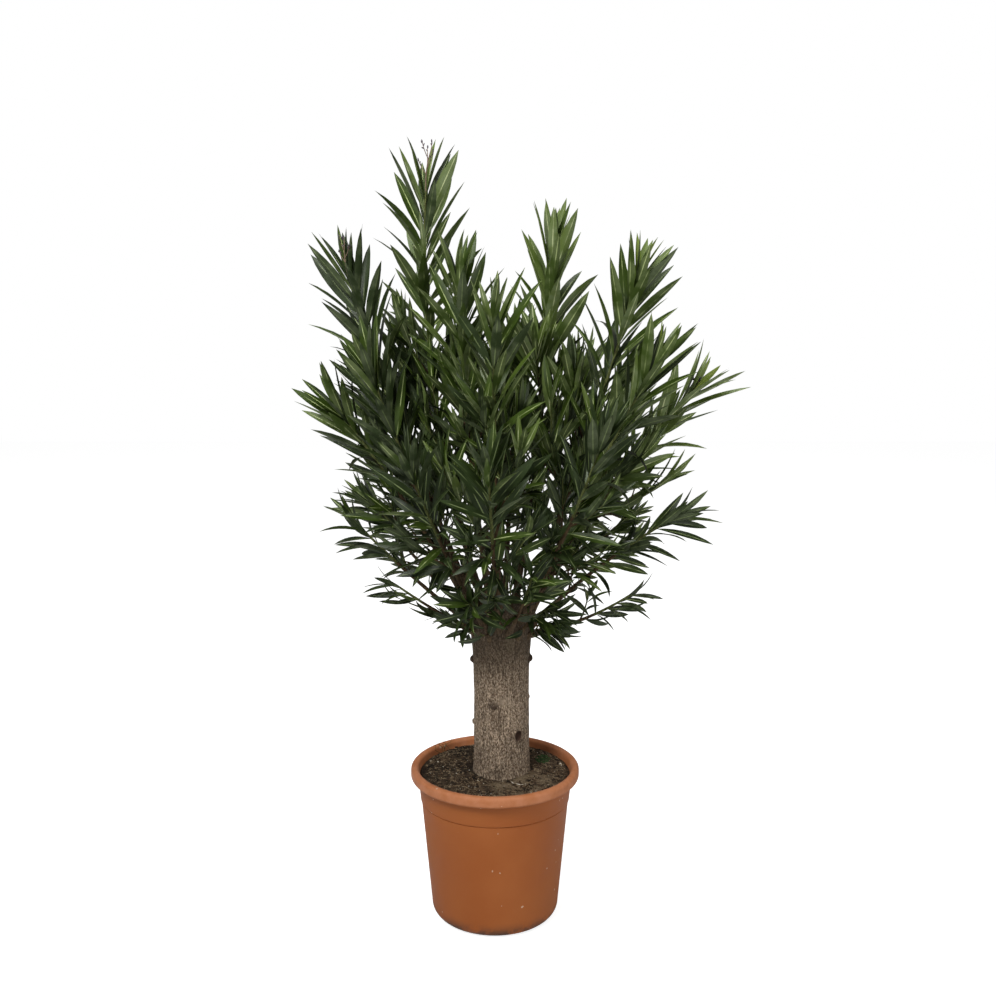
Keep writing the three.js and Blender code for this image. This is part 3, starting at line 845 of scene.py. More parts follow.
def smoothProfile(steps):
    # radii at even heights on a smooth line through the profile
    even = np.linspace(trunkHeights[0], trunkHeights[-1], steps)
    straight = np.interp(even, trunkHeights, trunkRadii)
    kernel = np.hanning(9)
    padded = np.pad(straight, 4, mode="edge")
    soft = np.convolve(padded, kernel / kernel.sum(), mode="valid")
    return np.stack([soft, even], axis=1)


def trunkLobe(turn, height):
    twist = height / 0.240
    return trunk["lobes"] * (math.sin(3 * turn + twist) + 0.6 * math.sin(5 * turn - 2 * twist))


def trunkBody():
    rows = smoothProfile(trunk["rows"])
    profile = [(0.0, rows[0][1])] + [tuple(row) for row in rows] + [(0.0, trunk["top"])]
    points, faces = turnedMesh(profile, trunk["sides"])
    for point in points:
        swell = 1 + trunkLobe(math.atan2(point[1], point[0]), point[2])
        point[:2] *= swell
    return points, faces


def ballMesh(middle, size, squash=(1.0, 1.0, 1.0), rings=10, sides=14):
    profile = arcPoints(0.0, 0.0, size, -90, 90, rings)
    profile[0] = (0.0, -size)
    profile[-1] = (0.0, size)
    points, faces = turnedMesh(profile, sides)
    return points * np.array(squash) + np.asarray(middle), faces


def barkDepth(point, hole, holeAt):
    # how far the bark stands in or out here
    x, y, z = point
    wander = noise.noise(Vector((x * 16, y * 16, z * 16))) * 0.010
    crack = noise.noise(Vector(((x + wander) * 165, (y + wander) * 165, z * 26)))
    fine = noise.noise(Vector((x * 280, y * 280, z * 90)))
    swell = noise.noise(Vector((x * 13, y * 13, z * 9 + 4)))
    lump = noise.noise(Vector((x * 48, y * 48, z * 30)))
    depth = -trunk["fissure"] * max(0.0, 1 - abs(crack) / trunk["crackShare"]) - 0.0006
    depth += trunk["fine"] * fine + trunk["lump"] * lump + trunk["swell"] * swell
    # the old hole of a lost twig, low on the front right
    away = math.dist(point, holeAt)
    if away < hole["edge"]:
        tall = (z - holeAt[2]) / hole["tall"]
        broad = math.sqrt(max(0.0, away * away - (z - holeAt[2]) ** 2)) / hole["across"]
        gap = math.hypot(tall, broad)
        depth += 0.0014 * math.exp(-((gap - 1.3) / 0.3) ** 2)
        depth -= hole["deep"] * max(0.0, 1 - gap ** 3)
    return depth


def barkFinish(name, pale, mid, dark, scale, width, long=0.35):
    # long: how much the patches are drawn out along the limb, less for longer
    finish = Finish(name, roughness=0.9, specular=0.25)
    tree = finish.tree
    tone = finish.group("mottle", First=mid, Second=pale, Scale=scale, Stretch=(1.0, 1.0, long), Specks=0.4)
    crack = finish.group("fissure", Scale=scale, Stretch=(1.0, 1.0, 0.30), Width=width)
    shade = mathNode(tree, "MULTIPLY", crack.outputs["Mask"], 0.7)
    finish.color(mixColors(tree, shade, tone.outputs["Color"], dark))
    finish.bump(crack.outputs["Height"], 0.0010, 0.7)
    return finish


def onTrunk(azimuth, height):
    # a point on the bark, as far out as the trunk is thick there
    radius = np.interp(height, trunkHeights, trunkRadii)
    return bearing(azimuth, 0) * radius + np.array([0.0, 0.0, height])


def patchMask(tree, place, middle, across, tall, ragged, soft=0.3):
    # 1 within an upright oval round a point, with a ragged edge
    shift = addNode(tree, "ShaderNodeVectorMath", operation="SUBTRACT")
    tree.links.new(place.outputs["Object"], shift.inputs[0])
    shift.inputs[1].default_value = tuple(middle)
    scale = addNode(tree, "ShaderNodeVectorMath", operation="MULTIPLY")
    tree.links.new(shift.outputs[0], scale.inputs[0])
    scale.inputs[1].default_value = (1 / across, 1 / across, 1 / tall)
    size = addNode(tree, "ShaderNodeVectorMath", operation="LENGTH")
    tree.links.new(scale.outputs[0], size.inputs[0])
    edge = mathNode(tree, "ADD", size.outputs["Value"], ragged)
    return rangeNode(tree, edge, 1.0 - soft, 1.0 + soft, 1.0, 0.0)


def trunkFinish():
    dark = trunk["dark"]
    finish = barkFinish("trunkBark", trunk["pale"], trunk["mid"], dark, trunk["crackScale"], 0.085, 0.6)
    tree = finish.tree
    tone = finish.shader.inputs["Base Color"].links[0].from_socket
    # longer streaks over the fine cracks
    long = finish.group("fissure", Scale=trunk["streakScale"], Stretch=(1.0, 1.0, 0.06), Width=0.040)
    streak = mathNode(tree, "MULTIPLY", long.outputs["Mask"], 0.65)
    tone = mixColors(tree, streak, tone, dark)
    place = addNode(tree, "ShaderNodeTexCoord")
    parts = addNode(tree, "ShaderNodeSeparateXYZ")
    tree.links.new(place.outputs["Object"], parts.inputs[0])
    # painted shade: the bark is darker and greener under the crown
    shaded = rangeNode(tree, parts.outputs["Z"], 0.54, 0.70, 0.0, 0.66)
    tone = mixColors(tree, shaded, tone, trunk["shaded"])
    wobble = noiseNode(tree, scale=150.0, detail=3.0)
    tree.links.new(place.outputs["Object"], wobble.inputs["Vector"])
    ragged = rangeNode(tree, wobble.outputs["Fac"], 0.3, 0.7, -0.35, 0.35)
    for azimuth, height, across, tall, share, color in trunk["patches"]:
        mask = patchMask(tree, place, onTrunk(azimuth, height) + trunkAxis, across, tall, ragged)
        tone = mixColors(tree, mathNode(tree, "MULTIPLY", mask, share), tone, color)
    hole = trunk["hole"]
    # painted shade inside the old hole: the mask's middle lies inside the hole, so that it reaches the hole's
    # floor
    inward = bearing(hole["azimuth"], 0) * hole["deep"] * 0.5
    middle = onTrunk(hole["azimuth"], hole["height"]) + trunkAxis - inward
    mask = patchMask(tree, place, middle, hole["across"] * 1.15, hole["tall"] * 1.1, 0.0, 0.15)
    finish.color(mixColors(tree, mask, tone, trunk["holeShade"]))
    return finish.material


def addTrunk():
    parts = [trunkBody()]
    for azimuth, height, out, radius in knots:
        middle = bearing(azimuth, 0) * out + np.array([0.0, 0.0, height])
        parts.append(ballMesh(middle, radius))
    points, faces = joinParts(parts)
    rough = bpy.data.meshes.new("trunkRough")
    rough.from_pydata(points.tolist(), [], faces)
    holder = bpy.data.objects.new("trunkRough", rough)
    bpy.context.scene.collection.objects.link(holder)
    remesh = holder.modifiers.new("skin", "REMESH")
    remesh.mode = "VOXEL"
    remesh.voxel_size = trunk["voxel"]
    soften = holder.modifiers.new("soften", "SMOOTH")
    soften.factor = 0.5
    soften.iterations = trunk["smoothing"]
    skin = bpy.data.meshes.new_from_object(holder.evaluated_get(bpy.context.evaluated_depsgraph_get()))
    bpy.data.objects.remove(holder)
    count = len(skin.vertices)
    place = np.empty(count * 3)
    normal = np.empty(count * 3)
    skin.vertices.foreach_get("co", place)
    skin.vertices.foreach_get("normal", normal)
    place = place.reshape(-1, 3)
    normal = normal.reshape(-1, 3)
    hole = trunk["hole"]
    holeAt = onTrunk(hole["azimuth"], hole["height"])
    depth = np.array([barkDepth(point, hole, holeAt) for point in place])
    place = place + normal * depth[:, None] + trunkAxis
    place[:, 2] = np.maximum(place[:, 2], trunk["foot"])
    faces = [tuple(polygon.vertices) for polygon in skin.polygons]
    bpy.data.meshes.remove(skin)
    meshPiece("trunk", place, faces, [trunkFinish()], ["trunk"], sharp=180)
    return len(faces)


print("trunk made:", addTrunk(), "faces")


# the shoots: the source's rule in metres, with values of its own and a few tips moved a little

head = {"height": 0.690, "radius": 0.078, "rise": 0.075, "sunk": 0.8, "spread": 10.4}

limbs = {
    "footRadius": 0.0040,
    "footShare": 0.0045,  # added to the foot's radius for each metre of length
    "tipRadius": 0.0022,
    "boughShare": 0.2,  # how much of a shoot is its leafless bough
    "stretches": 16,
    "samples": 97,
}

# name, azimuth, reach, height, bow and leaf tint of each shoot
# deep on the low and inner shoots is partly painted shade, pale on upper and outer ones partly painted light
shoots = [
    ("tall_left", 177, 0.166, 1.698, 11, "green"),
    ("high_left", 183, 0.338, 1.518, 3, "deep"),
    ("inner_left", 230, 0.144, 1.493, 4, "green"),
    ("centre_front", 265, 0.191, 1.409, 8, "green"),
    ("centre_right", 27, 0.131, 1.562, 5, "pale"),
    ("high_right", 353, 0.302, 1.505, 3, "green"),
    ("outer_right", 338, 0.358, 1.332, -2, "green"),
    ("far_right", 1, 0.434, 1.258, -8, "pale"),
    ("low_right", 352, 0.407, 0.986, -8, "deep"),
    ("lowest_right", 350, 0.299, 0.798, 12, "deep"),
    ("far_left", 190, 0.362, 1.216, -5, "green"),
    ("mid_left", 207, 0.310, 1.303, 4, "deep"),
    ("low_left", 176, 0.344, 0.959, 5, "deep"),
    ("lowest_left", 192, 0.245, 0.822, 4, "deep"),
    ("front", 266, 0.361, 1.125, 8, "deep"),
    ("front_left", 234, 0.320, 1.115, 6, "deep"),
    ("front_right", 312, 0.316, 1.175, 6, "deep"),
    ("front_low", 284, 0.265, 0.888, 8, "deep"),
    ("back_centre", 81, 0.233, 1.350, 5, "green"),
    ("back_left", 140, 0.339, 1.217, 6, "deep"),
    ("back_right", 37, 0.412, 1.217, 6, "green"),
    ("back", 92, 0.360, 1.100, 8, "deep"),
    ("back_low_right", 52, 0.386, 0.960, 4, "deep"),
    ("back_low_left", 146, 0.395, 0.965, 4, "deep"),
]

# short stems from the trunk's flank: name, azimuth, foot height, reach, height, bow
skirts = [
    ("skirt_right", 334, 0.684, 0.132, 0.718, -34),
    ("skirt_left", 207, 0.690, 0.128, 0.736, -34),
    ("skirt_front_left", 247, 0.690, 0.176, 0.806, -16),
    ("skirt_front_right", 305, 0.690, 0.182, 0.792, -16),
    ("skirt_back_right", 70, 0.684, 0.172, 0.790, -16),
    ("skirt_back_left", 118, 0.684, 0.172, 0.800, -16),
]

# sizes of the flower stalks
flowering = {"tall_left": 1.0, "high_left": 0.75, "far_right": 0.35}
# shoots with fewer twigs than the rest, as shares
sparse = {
    "tall_left": 0.7, "high_left": 0.8, "centre_right": 0.6, "high_right": 0.75, "far_left": 0.75,
    "low_right": 0.5, "lowest_right": 0.35, "low_left": 0.5, "lowest_left": 0.5, "mid_left": 0.7,
    "front_left": 0.85, "front_right": 0.85, "front_low": 0.85, "outer_right": 0.85, "far_right": 0.85,
    "back_low_left": 0.5, "back_low_right": 0.5, "back": 0.8, "back_right": 0.85, "back_left": 0.85,
}
# shoots with fewer leaves on their own stem
fewLeaves = {"low_right": 0.7, "lowest_right": 0.75, "low_left": 0.85, "lowest_left": 0.85, "skirt_left": 0.6}
# shoots whose leaves stand closer to the stem
slim = {"centre_right": 0.72, "high_left": 0.9}
# shoots with freshly grown tips
youngTips = ["high_left", "high_right", "outer_right", "far_right"]

leafRule = {
    "lowHeight": 0.70,
    "lowLength": 0.092,
    "highHeight": 1.25,
    "highLength": 0.172,
    "width": 0.152,  # of the length
    "lowBroad": 0.08,  # how much broader the low leaves are
    "whorl": 3,
    "young": 0.69,  # size of the leaves at a stem's tip
    "youngest": 0.58,  # where the tip is freshly grown
    "grownBy": 0.055,
    "youngFor": 0.010,  # how far down a stem the youngest colour goes
    "flowerGap": 0.010,  # a flowering stem's last whorl stands this much lower
    "firstStep": 0.015,
    "stepGrowth": 0.005,
    "step": 0.029,
    "twigStep": 0.025,
    "skirtScale": 1.2,
    "topGap": 0.003,
    "footGap": 0.010,
    # spread, bend and fold near the tip, and where the leaves stand open
    "closed": 16,
    "open": 47,
    "opensOver": 0.380,
    "opensAs": 0.72,  # below 1, leaves open sooner
    "straight": 0.08,
    "bent": 0.55,
    "folded": 18,
    "flat": 7,
    "twist": 18,
    "toLight": 0.45,  # how far a leaf turns its upper side upwards
    "leafyFor": 0.50,  # below this far down a stem, leaves start to be lost
    "bareBy": 1.00,
    "kept": 0.40,
    "twigKept": 0.78,
    "partedFor": 0.075,  # how far down no leaf hides a flower stalk from the front
    "partedFace": -0.72,
    "curled": 0.05,  # share of dark, curled leaves
    "curl": 1.3,
    "curledBelow": 0.1,
    "roll": 56,  # how far a leaf may turn its face aside
    "droop": 1.45,  # how far the lowest leaves hang
    "lowBend": 1.40,  # and how much more they arch
    "lowArch": 0.35,
    "droopBelow": 1.10,
    "droopOver": 0.40,
}

twigRule = {
    "spacing": 0.073,
    "footShare": 0.25,  # of the bare stretch, where the lowest twigs stand
    "first": 0.02,
    "last": 0.60,
    "share": 0.46,
    "least": 0.080,
    "angle": 40,
    "footAngle": 62,
    "lift": 22,
    "turn": 137.5,
    "radius": 0.0026,
    "endRadius": 0.0014,
    "bare": 0.22,
    "leafScale": 0.88,
    "skirtSpacing": 0.055,
    "sideSpacing": 0.075,  # of the finer twigs that stand on twigs
    "sideLeast": 0.20,  # only twigs longer than this carry them
    "sideBare": 0.15,
    "sideLeafScale": 0.9,
}

spaceRule = {"overlap": 0.030, "leafOverlap": 0.060, "clear": 0.0015, "beyond": 0.090, "seed": 7919}
# leaves stay above a shallow cone that opens upwards from the trunk
underside = {
    "inner": 0.125,
    "height": 0.735,
    "rise": 0.55,
    # shoots that may reach lower: height and rise
    "lower": {
        "skirt_right": (0.662, 0.20), "skirt_left": (0.680, 0.20),
        "skirt_front_left": (0.700, 0.30), "skirt_front_right": (0.700, 0.30),
        "lowest_right": (0.665, 0.30), "low_right": (0.665, 0.70), "lowest_left": (0.710, 0.40),
    },
}
# a leaf that leaves its space is tried again at these shares of its spread and length
fits = [(1.0, 1.0), (0.75, 1.0), (0.7, 0.82), (0.5, 0.66)]
# and a twig at these shares of its length
twigFits = [1.0, 0.78, 0.6]


def makeLimb(points, azimuth):
    # a cubic curve with its length measured out
    t = np.linspace(0.0, 1.0, limbs["samples"])[:, None]
    a, b, c, d = [np.asarray(point, float) for point in points]
    way = (1 - t) ** 3 * a + 3 * (1 - t) ** 2 * t * b + 3 * (1 - t) * t * t * c + t ** 3 * d
    slope = (1 - t) ** 2 * (b - a) + 2 * (1 - t) * t * (c - b) + t * t * (d - c)
    runs = np.concatenate([[0.0], np.cumsum(np.linalg.norm(np.diff(way, axis=0), axis=1))])
    side = bearing(azimuth + 90, 0)
    return {"way": way, "slope": unit(slope), "runs": runs / runs[-1], "length": runs[-1], "side": side}


def frameAt(limb, shares):
    # point, direction and two cross directions at shares of a limb's length
    shares = np.atleast_1d(shares)
    point = np.stack([np.interp(shares, limb["runs"], limb["way"][:, k]) for k in range(3)], axis=1)
    along = unit(np.stack([np.interp(shares, limb["runs"], limb["slope"][:, k]) for k in range(3)], axis=1))
    side = np.broadcast_to(limb["side"], along.shape)
    return point, along, side, np.cross(side, along)


def shootLimb(azimuth, reach, height, bow, foot=None):
    tip = bearing(azimuth, 0) * reach + np.array([0.0, 0.0, height])
    if foot is None:
        steepness = math.degrees(math.atan2(height - head["height"], reach))
        polar = head["spread"] * math.sqrt(90 - steepness)
        root = bearing(azimuth, 90 - polar) * head["radius"] * head["sunk"]
        root[2] = root[2] * head["rise"] / head["radius"] + head["height"]
    else:
        root = bearing(azimuth, 0) * head["radius"] * head["sunk"] + np.array([0.0, 0.0, foot])
    chord = tip - root
    steep = elevationOf(chord)
    third = np.linalg.norm(chord) / 3
    leave = root + bearing(azimuth, steep - bow) * third
    arrive = tip - bearing(azimuth, steep + bow) * third
    return makeLimb([root, leave, arrive, tip], azimuth)


def twigLimb(start, azimuth, elevation, length):
    points = [start]
    for share in (0.0, 0.5, 1.0):
        points.append(points[-1] + bearing(azimuth, elevation + twigRule["lift"] * share) * length / 3)
    return makeLimb(points, azimuth)


def footRadius(limb):
    return limbs["footRadius"] + limbs["footShare"] * limb["length"]


plantShoots = []
for index, (name, azimuth, reach, height, bow, tint) in enumerate(shoots):
    plantShoots.append({
        "name": name,
        "azimuth": azimuth,
        "limb": shootLimb(azimuth, reach, height, bow),
        "bare": limbs["boughShare"],
        "tint": tint,
        "seed": spaceRule["seed"] * (index + 1),
    })
for index, (name, azimuth, foot, reach, height, bow) in enumerate(skirts):
    plantShoots.append({
        "name": name,
        "azimuth": azimuth,
        "limb": shootLimb(azimuth, reach, height, bow, foot),
        "bare": 0.0,
        # the low skirts take deep, partly as painted shade
        "tint": "deep",
        "seed": spaceRule["seed"] * (len(shoots) + index + 1),
    })


def shootLine(shoot):
    # the straight stretches that stand for a shoot, and one past its end
    point, along, _, _ = frameAt(shoot["limb"], np.linspace(0.0, 1.0, limbs["stretches"] + 1))
    past = point[-1] + along[-1] * spaceRule["beyond"]
    return np.concatenate([point, [past]])


lineStarts = np.stack([shootLine(shoot)[:-1] for shoot in plantShoots])
lineEnds = np.stack([shootLine(shoot)[1:] for shoot in plantShoots])


def shootDistances(points):
    # from each point to each shoot's line
    starts = lineStarts[None]
    ways = (lineEnds - lineStarts)[None]
    found = []
    for chunk in np.array_split(points, max(1, len(points) // 4000)):
        offset = chunk[:, None, None, :] - starts
        share = np.clip((offset * ways).sum(-1) / (ways * ways).sum(-1), 0.0, 1.0)
        gap = np.linalg.norm(offset - share[..., None] * ways, axis=-1)
        found.append(gap.min(axis=-1))
    return np.concatenate(found)


closedRadii = np.append(trunkRadii, 0.0)
closedHeights = np.append(trunkHeights, trunk["top"])


def trunkClearance(points):
    widest = np.interp(points[:, 2], closedHeights, closedRadii) * (1 + 1.6 * trunk["lobes"])
    clear = np.hypot(points[:, 0], points[:, 1]) - widest
    clear = np.where(points[:, 2] > trunk["top"], points[:, 2] - trunk["top"], clear)
    for azimuth, height, out, radius in knots:
        middle = bearing(azimuth, 0) * out + np.array([0.0, 0.0, height])
        clear = np.minimum(clear, np.linalg.norm(points - middle, axis=1) - radius)
    return clear


def inOwnSpace(points, index, overlap):
    # whether each point is clear of the trunk, above the crown's underside,
    # and no deeper in a neighbour's space than the overlap
    gaps = shootDistances(points)
    own = gaps[:, index].copy()
    gaps[:, index] = 1e9
    usual = (underside["height"], underside["rise"])
    height, rise = underside["lower"].get(plantShoots[index]["name"], usual)
    out = np.hypot(points[:, 0], points[:, 1])
    lowest = height + rise * np.maximum(0.0, out - underside["inner"])
    clear = (trunkClearance(points) > spaceRule["clear"]) & (points[:, 2] > lowest)
    return clear & (gaps.min(axis=1) > own - overlap)


# leaves

leafShape = {
    "stations": np.array([0.0, 0.05, 0.15, 0.28, 0.42, 0.56, 0.70, 0.86, 1.0]),
    "petiole": 0.10,
    "rib": 0.0016,
    "thick": 0.0009,
    "usual": 0.17,  # the length that rib and thickness are given for
    "perPiece": 1900,
}
leafKeys = ["root", "reach", "across", "face", "length", "width", "bend", "fold", "twist", "tint"]


def leafPaints(top, fleck, under, rib):
    return {"top": paint(*top), "fleck": paint(*fleck), "under": paint(*under), "rib": paint(*rib)}


# deep, green and pale: the leaves' own range of tone, with deep used as painted shade on the low and inner
# sprays and pale as painted light on upper and outer ones
tints = {
    "deep": leafPaints((30, 42, 12), (41, 55, 21), (82, 92, 64), (124, 138, 92)),
    "green": leafPaints((45, 62, 10), (58, 76, 20), (94, 107, 64), (176, 190, 128)),
    "pale": leafPaints((74, 92, 34), (92, 109, 50), (118, 132, 90), (204, 213, 160)),
    "young": leafPaints((92, 112, 34), (112, 130, 48), (120, 136, 66), (164, 174, 92)),
    "dark": leafPaints((24, 30, 16), (38, 42, 22), (50, 56, 34), (76, 82, 48)),
}
# roughness and specular level of each part of a leaf
leafGloss = {"top": (0.42, 0.34), "rib": (0.5, 0.3), "under": (0.6, 0.3)}
tintNames = list(tints)
leafRows = {key: [] for key in leafKeys}


def leafLength(height, scale):
    share = (height - leafRule["lowHeight"]) / (leafRule["highHeight"] - leafRule["lowHeight"])
    return scale * mix(leafRule["lowLength"], leafRule["highLength"], np.clip(share, 0.0, 1.0))


def placeLeaves(index, limb, rows, parted=False):
    # rows: share, turn, spread, scale, bend, fold, twist, width, tint and roll of each leaf
    share, turn, spread, scale, bend, fold, twist, width, tint, roll = np.array(rows, float).T
    point, along, side, over = frameAt(limb, share)
    out = side * np.cos(turn[:, None]) + over * np.sin(turn[:, None])
    across = unit(np.cross(along, out))
    left = np.ones(len(share), bool)
    if parted:
        below = (1 - share) * limb["length"]
        left = (out[:, 1] > leafRule["partedFace"]) | (below > leafRule["partedFor"])
    # low leaves hang and arch more
    low = np.clip((leafRule["droopBelow"] - point[:, 2]) / leafRule["droopOver"], 0.0, 1.0)
    hang = leafRule["droop"] * low * np.clip(spread / leafRule["open"], 0.0, 1.0)
    bend = bend + low * (leafRule["lowBend"] * bend + leafRule["lowArch"])
    broad = 1 + leafRule["lowBroad"] * low
    roll = np.radians(roll)[:, None]
    for spreadFit, lengthFit in fits:
        angle = np.radians(spread * spreadFit)[:, None]
        length = leafLength(point[:, 2], scale * lengthFit)
        reach = along * np.cos(angle) + out * np.sin(angle)
        reach[:, 2] -= hang
        reach = unit(reach)
        # a leaf turns its upper side partly to the light
        face = np.cross(reach, across)
        up = np.array([0.0, 0.0, 1.0]) - reach * reach[:, 2:3]
        face = unit(face + leafRule["toLight"] * up)
        flat = unit(np.cross(face, reach))
        face, flat = face * np.cos(roll) + flat * np.sin(roll), flat * np.cos(roll) - face * np.sin(roll)
        drop = -face * (length * 0.5 * bend)[:, None]
        good = left.copy()
        for s in (0.35, 0.7, 1.0):
            spot = point + reach * (length * s)[:, None] + drop * s * s
            good &= inOwnSpace(spot, index, spaceRule["leafOverlap"])
        values = {
            "root": point, "reach": reach, "across": flat, "face": face, "length": length,
            "width": length * leafRule["width"] * broad * width / lengthFit ** 0.5,
            "bend": bend, "fold": fold, "twist": twist, "tint": tint,
        }
        for key in leafKeys:
            leafRows[key].append(values[key][good])
        left &= ~good


def leafTint(tint, chance):
    # most leaves have their spray's tone, and some a neighbouring one, partly as painted light and shade from
    # leaf to leaf
    order = ["deep", "green", "pale"]
    if tint not in order:
        return tint
    step = -1 if chance < 0.22 else 1 if chance > 0.80 else 0
    return order[min(2, max(0, order.index(tint) + step))]


def frontTurn(limb):
    # the turn about a limb's tip that faces the front
    _, _, side, over = [row[0] for row in frameAt(limb, 1.0)]
    return math.atan2(-over[1], -side[1])


def whorls(
    index, limb, draw, start, scale, step, tint,
    young=False, topGap=0.0, most=1.0, turn=None, wide=1.0,
):
    # whorls of leaves down a limb from its tip, upright there and opening further down
    rows = []
    below = leafRule["topGap"] + topGap
    turn = draw(0, math.pi) if turn is None else turn + draw(-0.15, 0.15)
    smallest = leafRule["youngest"] if young else leafRule["young"]
    row = 0
    while below < limb["length"] * (1 - start) - leafRule["footGap"]:
        opening = min(1.0, below / leafRule["opensOver"])
        lost = (below - leafRule["leafyFor"]) / (leafRule["bareBy"] - leafRule["leafyFor"])
        kept = most * mix(1.0, leafRule["kept"], min(1.0, max(0.0, lost)))
        whorlTint = "young" if young and below < leafRule["youngFor"] else tint
        opened = mix(leafRule["closed"], leafRule["open"], opening ** leafRule["opensAs"])
        grown = mix(smallest, 1.0, min(1.0, below / leafRule["grownBy"]))
        for leaf in range(leafRule["whorl"]):
            spread = opened * draw(0.8, 1.2) * wide
            size = scale * grown * draw(0.85, 1.12)
            around = turn + (leaf + draw(-0.14, 0.14)) * 2 * math.pi / leafRule["whorl"]
            bend = mix(leafRule["straight"], leafRule["bent"], opening) * (0.1 + 1.9 * draw(0, 1) ** 2)
            fold = mix(leafRule["folded"], leafRule["flat"], opening) * draw(0.5, 1.5)
            twist = draw(-leafRule["twist"], leafRule["twist"])
            width = draw(0.86, 1.12)
            roll = leafRule["roll"] * draw(-1, 1)
            tone = tintNames.index(leafTint(whorlTint, draw(0, 1)))
            if draw(0, 1) < leafRule["curled"] and below > leafRule["curledBelow"]:
                tone = tintNames.index("dark")
                bend += leafRule["curl"]
            if draw(0, 1) < kept:
                share = 1 - below / limb["length"]
                rows.append((share, around, spread, size, bend, fold, twist, width, tone, roll))
        turn += math.pi / leafRule["whorl"]
        below += min(step, leafRule["firstStep"] + row * leafRule["stepGrowth"])
        row += 1
    if rows:
        placeLeaves(index, limb, rows, topGap > 0.005)


stems = []  # limb and foot radius of each twig


def growTwigs(index, limb, draw, bare, spacing, scale, tint, finer=True):
    # twigs turn round their stem one after another; one that leaves its space is cut shorter
    count = round(limb["length"] * (1 - bare) / spacing)
    turn = draw(0, 360)
    for i in range(count):
        place = (i + draw(0.2, 0.8)) / count
        share = mix(bare, 1.0, mix(twigRule["first"], twigRule["last"], place))
        point, along, side, over = [row[0] for row in frameAt(limb, share)]
        around = math.radians(turn)
        angle = mix(twigRule["footAngle"], twigRule["angle"], min(1.0, place * 2.5))
        way = (side * math.cos(around) + over * math.sin(around)) * math.tan(math.radians(angle))
        way = way + along
        above = limb["length"] * (1 - share)
        wanted = max(twigRule["least"], above * twigRule["share"] * draw(0.6, 1.2))
        turn += twigRule["turn"]
        for fit in twigFits:
            twig = twigLimb(point, azimuthOf(way), elevationOf(way), wanted * fit)
            spots = frameAt(twig, np.linspace(0.2, 1.0, 6))[0]
            if not inOwnSpace(spots, index, spaceRule["overlap"]).all():
                continue
            stems.append((twig, mix(twigRule["radius"], twigRule["endRadius"], 0.0 if finer else 0.5)))
            step = leafRule["twigStep"]
            whorls(index, twig, draw, twigRule["bare"], scale, step, tint, most=leafRule["twigKept"])
            if finer and twig["length"] > twigRule["sideLeast"]:
                growTwigs(
                    index, twig, draw, twigRule["sideBare"], twigRule["sideSpacing"],
                    scale * twigRule["sideLeafScale"], tint, finer=False,
                )
            break


def growShoot(index, shoot):
    draw = seeded(shoot["seed"])
    name = shoot["name"]
    limb = shoot["limb"]
    bare = shoot["bare"]
    scale = 1.0 if bare else leafRule["skirtScale"]
    whorls(
        index, limb, draw, bare, scale, leafRule["step"], shoot["tint"],
        young=name in youngTips,
        topGap=leafRule["flowerGap"] * flowering.get(name, 0.0),
        most=fewLeaves.get(name, 1.0),
        turn=frontTurn(limb),
        wide=slim.get(name, 1.0),
    )
    spacing = twigRule["spacing"] / sparse.get(name, 1.0) if bare else twigRule["skirtSpacing"]
    leafScale = scale * twigRule["leafScale"]
    growTwigs(index, limb, draw, bare * twigRule["footShare"], spacing, leafScale, shoot["tint"])


for index, shoot in enumerate(plantShoots):
    growShoot(index, shoot)
leafTable = {key: np.concatenate(values) for key, values in leafRows.items()}
print("crown grown:", len(leafTable["length"]), "leaves on", len(stems), "twigs")


def leafPoints(rows):
    # the vertices of many leaves: six round each station, one at the tip
    stations = leafShape["stations"]
    length = rows["length"][:, None]
    middles = (stations[1:] + stations[:-1]) / 2
    slope = -rows["bend"][:, None] * middles ** 1.2
    steps = np.diff(stations)
    still = np.zeros((len(slope), 1))
    run = np.concatenate([still, np.cumsum(np.cos(slope) * steps, axis=1)], axis=1) * length
    rise = np.concatenate([still, np.cumsum(np.sin(slope) * steps, axis=1)], axis=1) * length
    tilt = -rows["bend"][:, None] * stations ** 1.2
    reach = rows["reach"][:, None, :]
    face = rows["face"][:, None, :]
    across = rows["across"][:, None, :]
    spine = rows["root"][:, None, :] + reach * run[..., None] + face * rise[..., None]
    normal = face * np.cos(tilt)[..., None] - reach * np.sin(tilt)[..., None]
    roll = np.radians(rows["twist"][:, None] * stations)[..., None]
    sideways = across * np.cos(roll) + normal * np.sin(roll)
    normal = normal * np.cos(roll) - across * np.sin(roll)
    blade = np.sin(math.pi * np.clip((stations - 0.03) / 0.97, 0, 1) ** 0.95) ** 0.78
    half = np.maximum(leafShape["petiole"], blade) * rows["width"][:, None] / 2
    half[:, -1] = 0.0
    grown = length / leafShape["usual"]
    rib = np.minimum(half * 0.8, leafShape["rib"] * grown ** 0.6 * (1 - 0.6 * stations))
    thick = leafShape["thick"] * grown * (1 - 0.75 * stations)
    fold = np.radians(rows["fold"])[:, None]
    edgeOut = (half * np.cos(fold))[..., None]
    edgeUp = (half * np.sin(fold))[..., None]
    edgeLeft = spine - sideways * edgeOut + normal * edgeUp
    edgeRight = spine + sideways * edgeOut + normal * edgeUp
    ribLeft = spine - sideways * rib[..., None]
    ribRight = spine + sideways * rib[..., None]
    keel = normal * thick[..., None]
    ring = [edgeLeft, ribLeft, ribRight, edgeRight, ribRight - keel, ribLeft - keel]
    body = np.stack(ring, axis=2)[:, :-1]
    tip = spine[:, -1:]
    count = len(length)
    return np.concatenate([body.reshape(count, -1, 3), tip], axis=1)


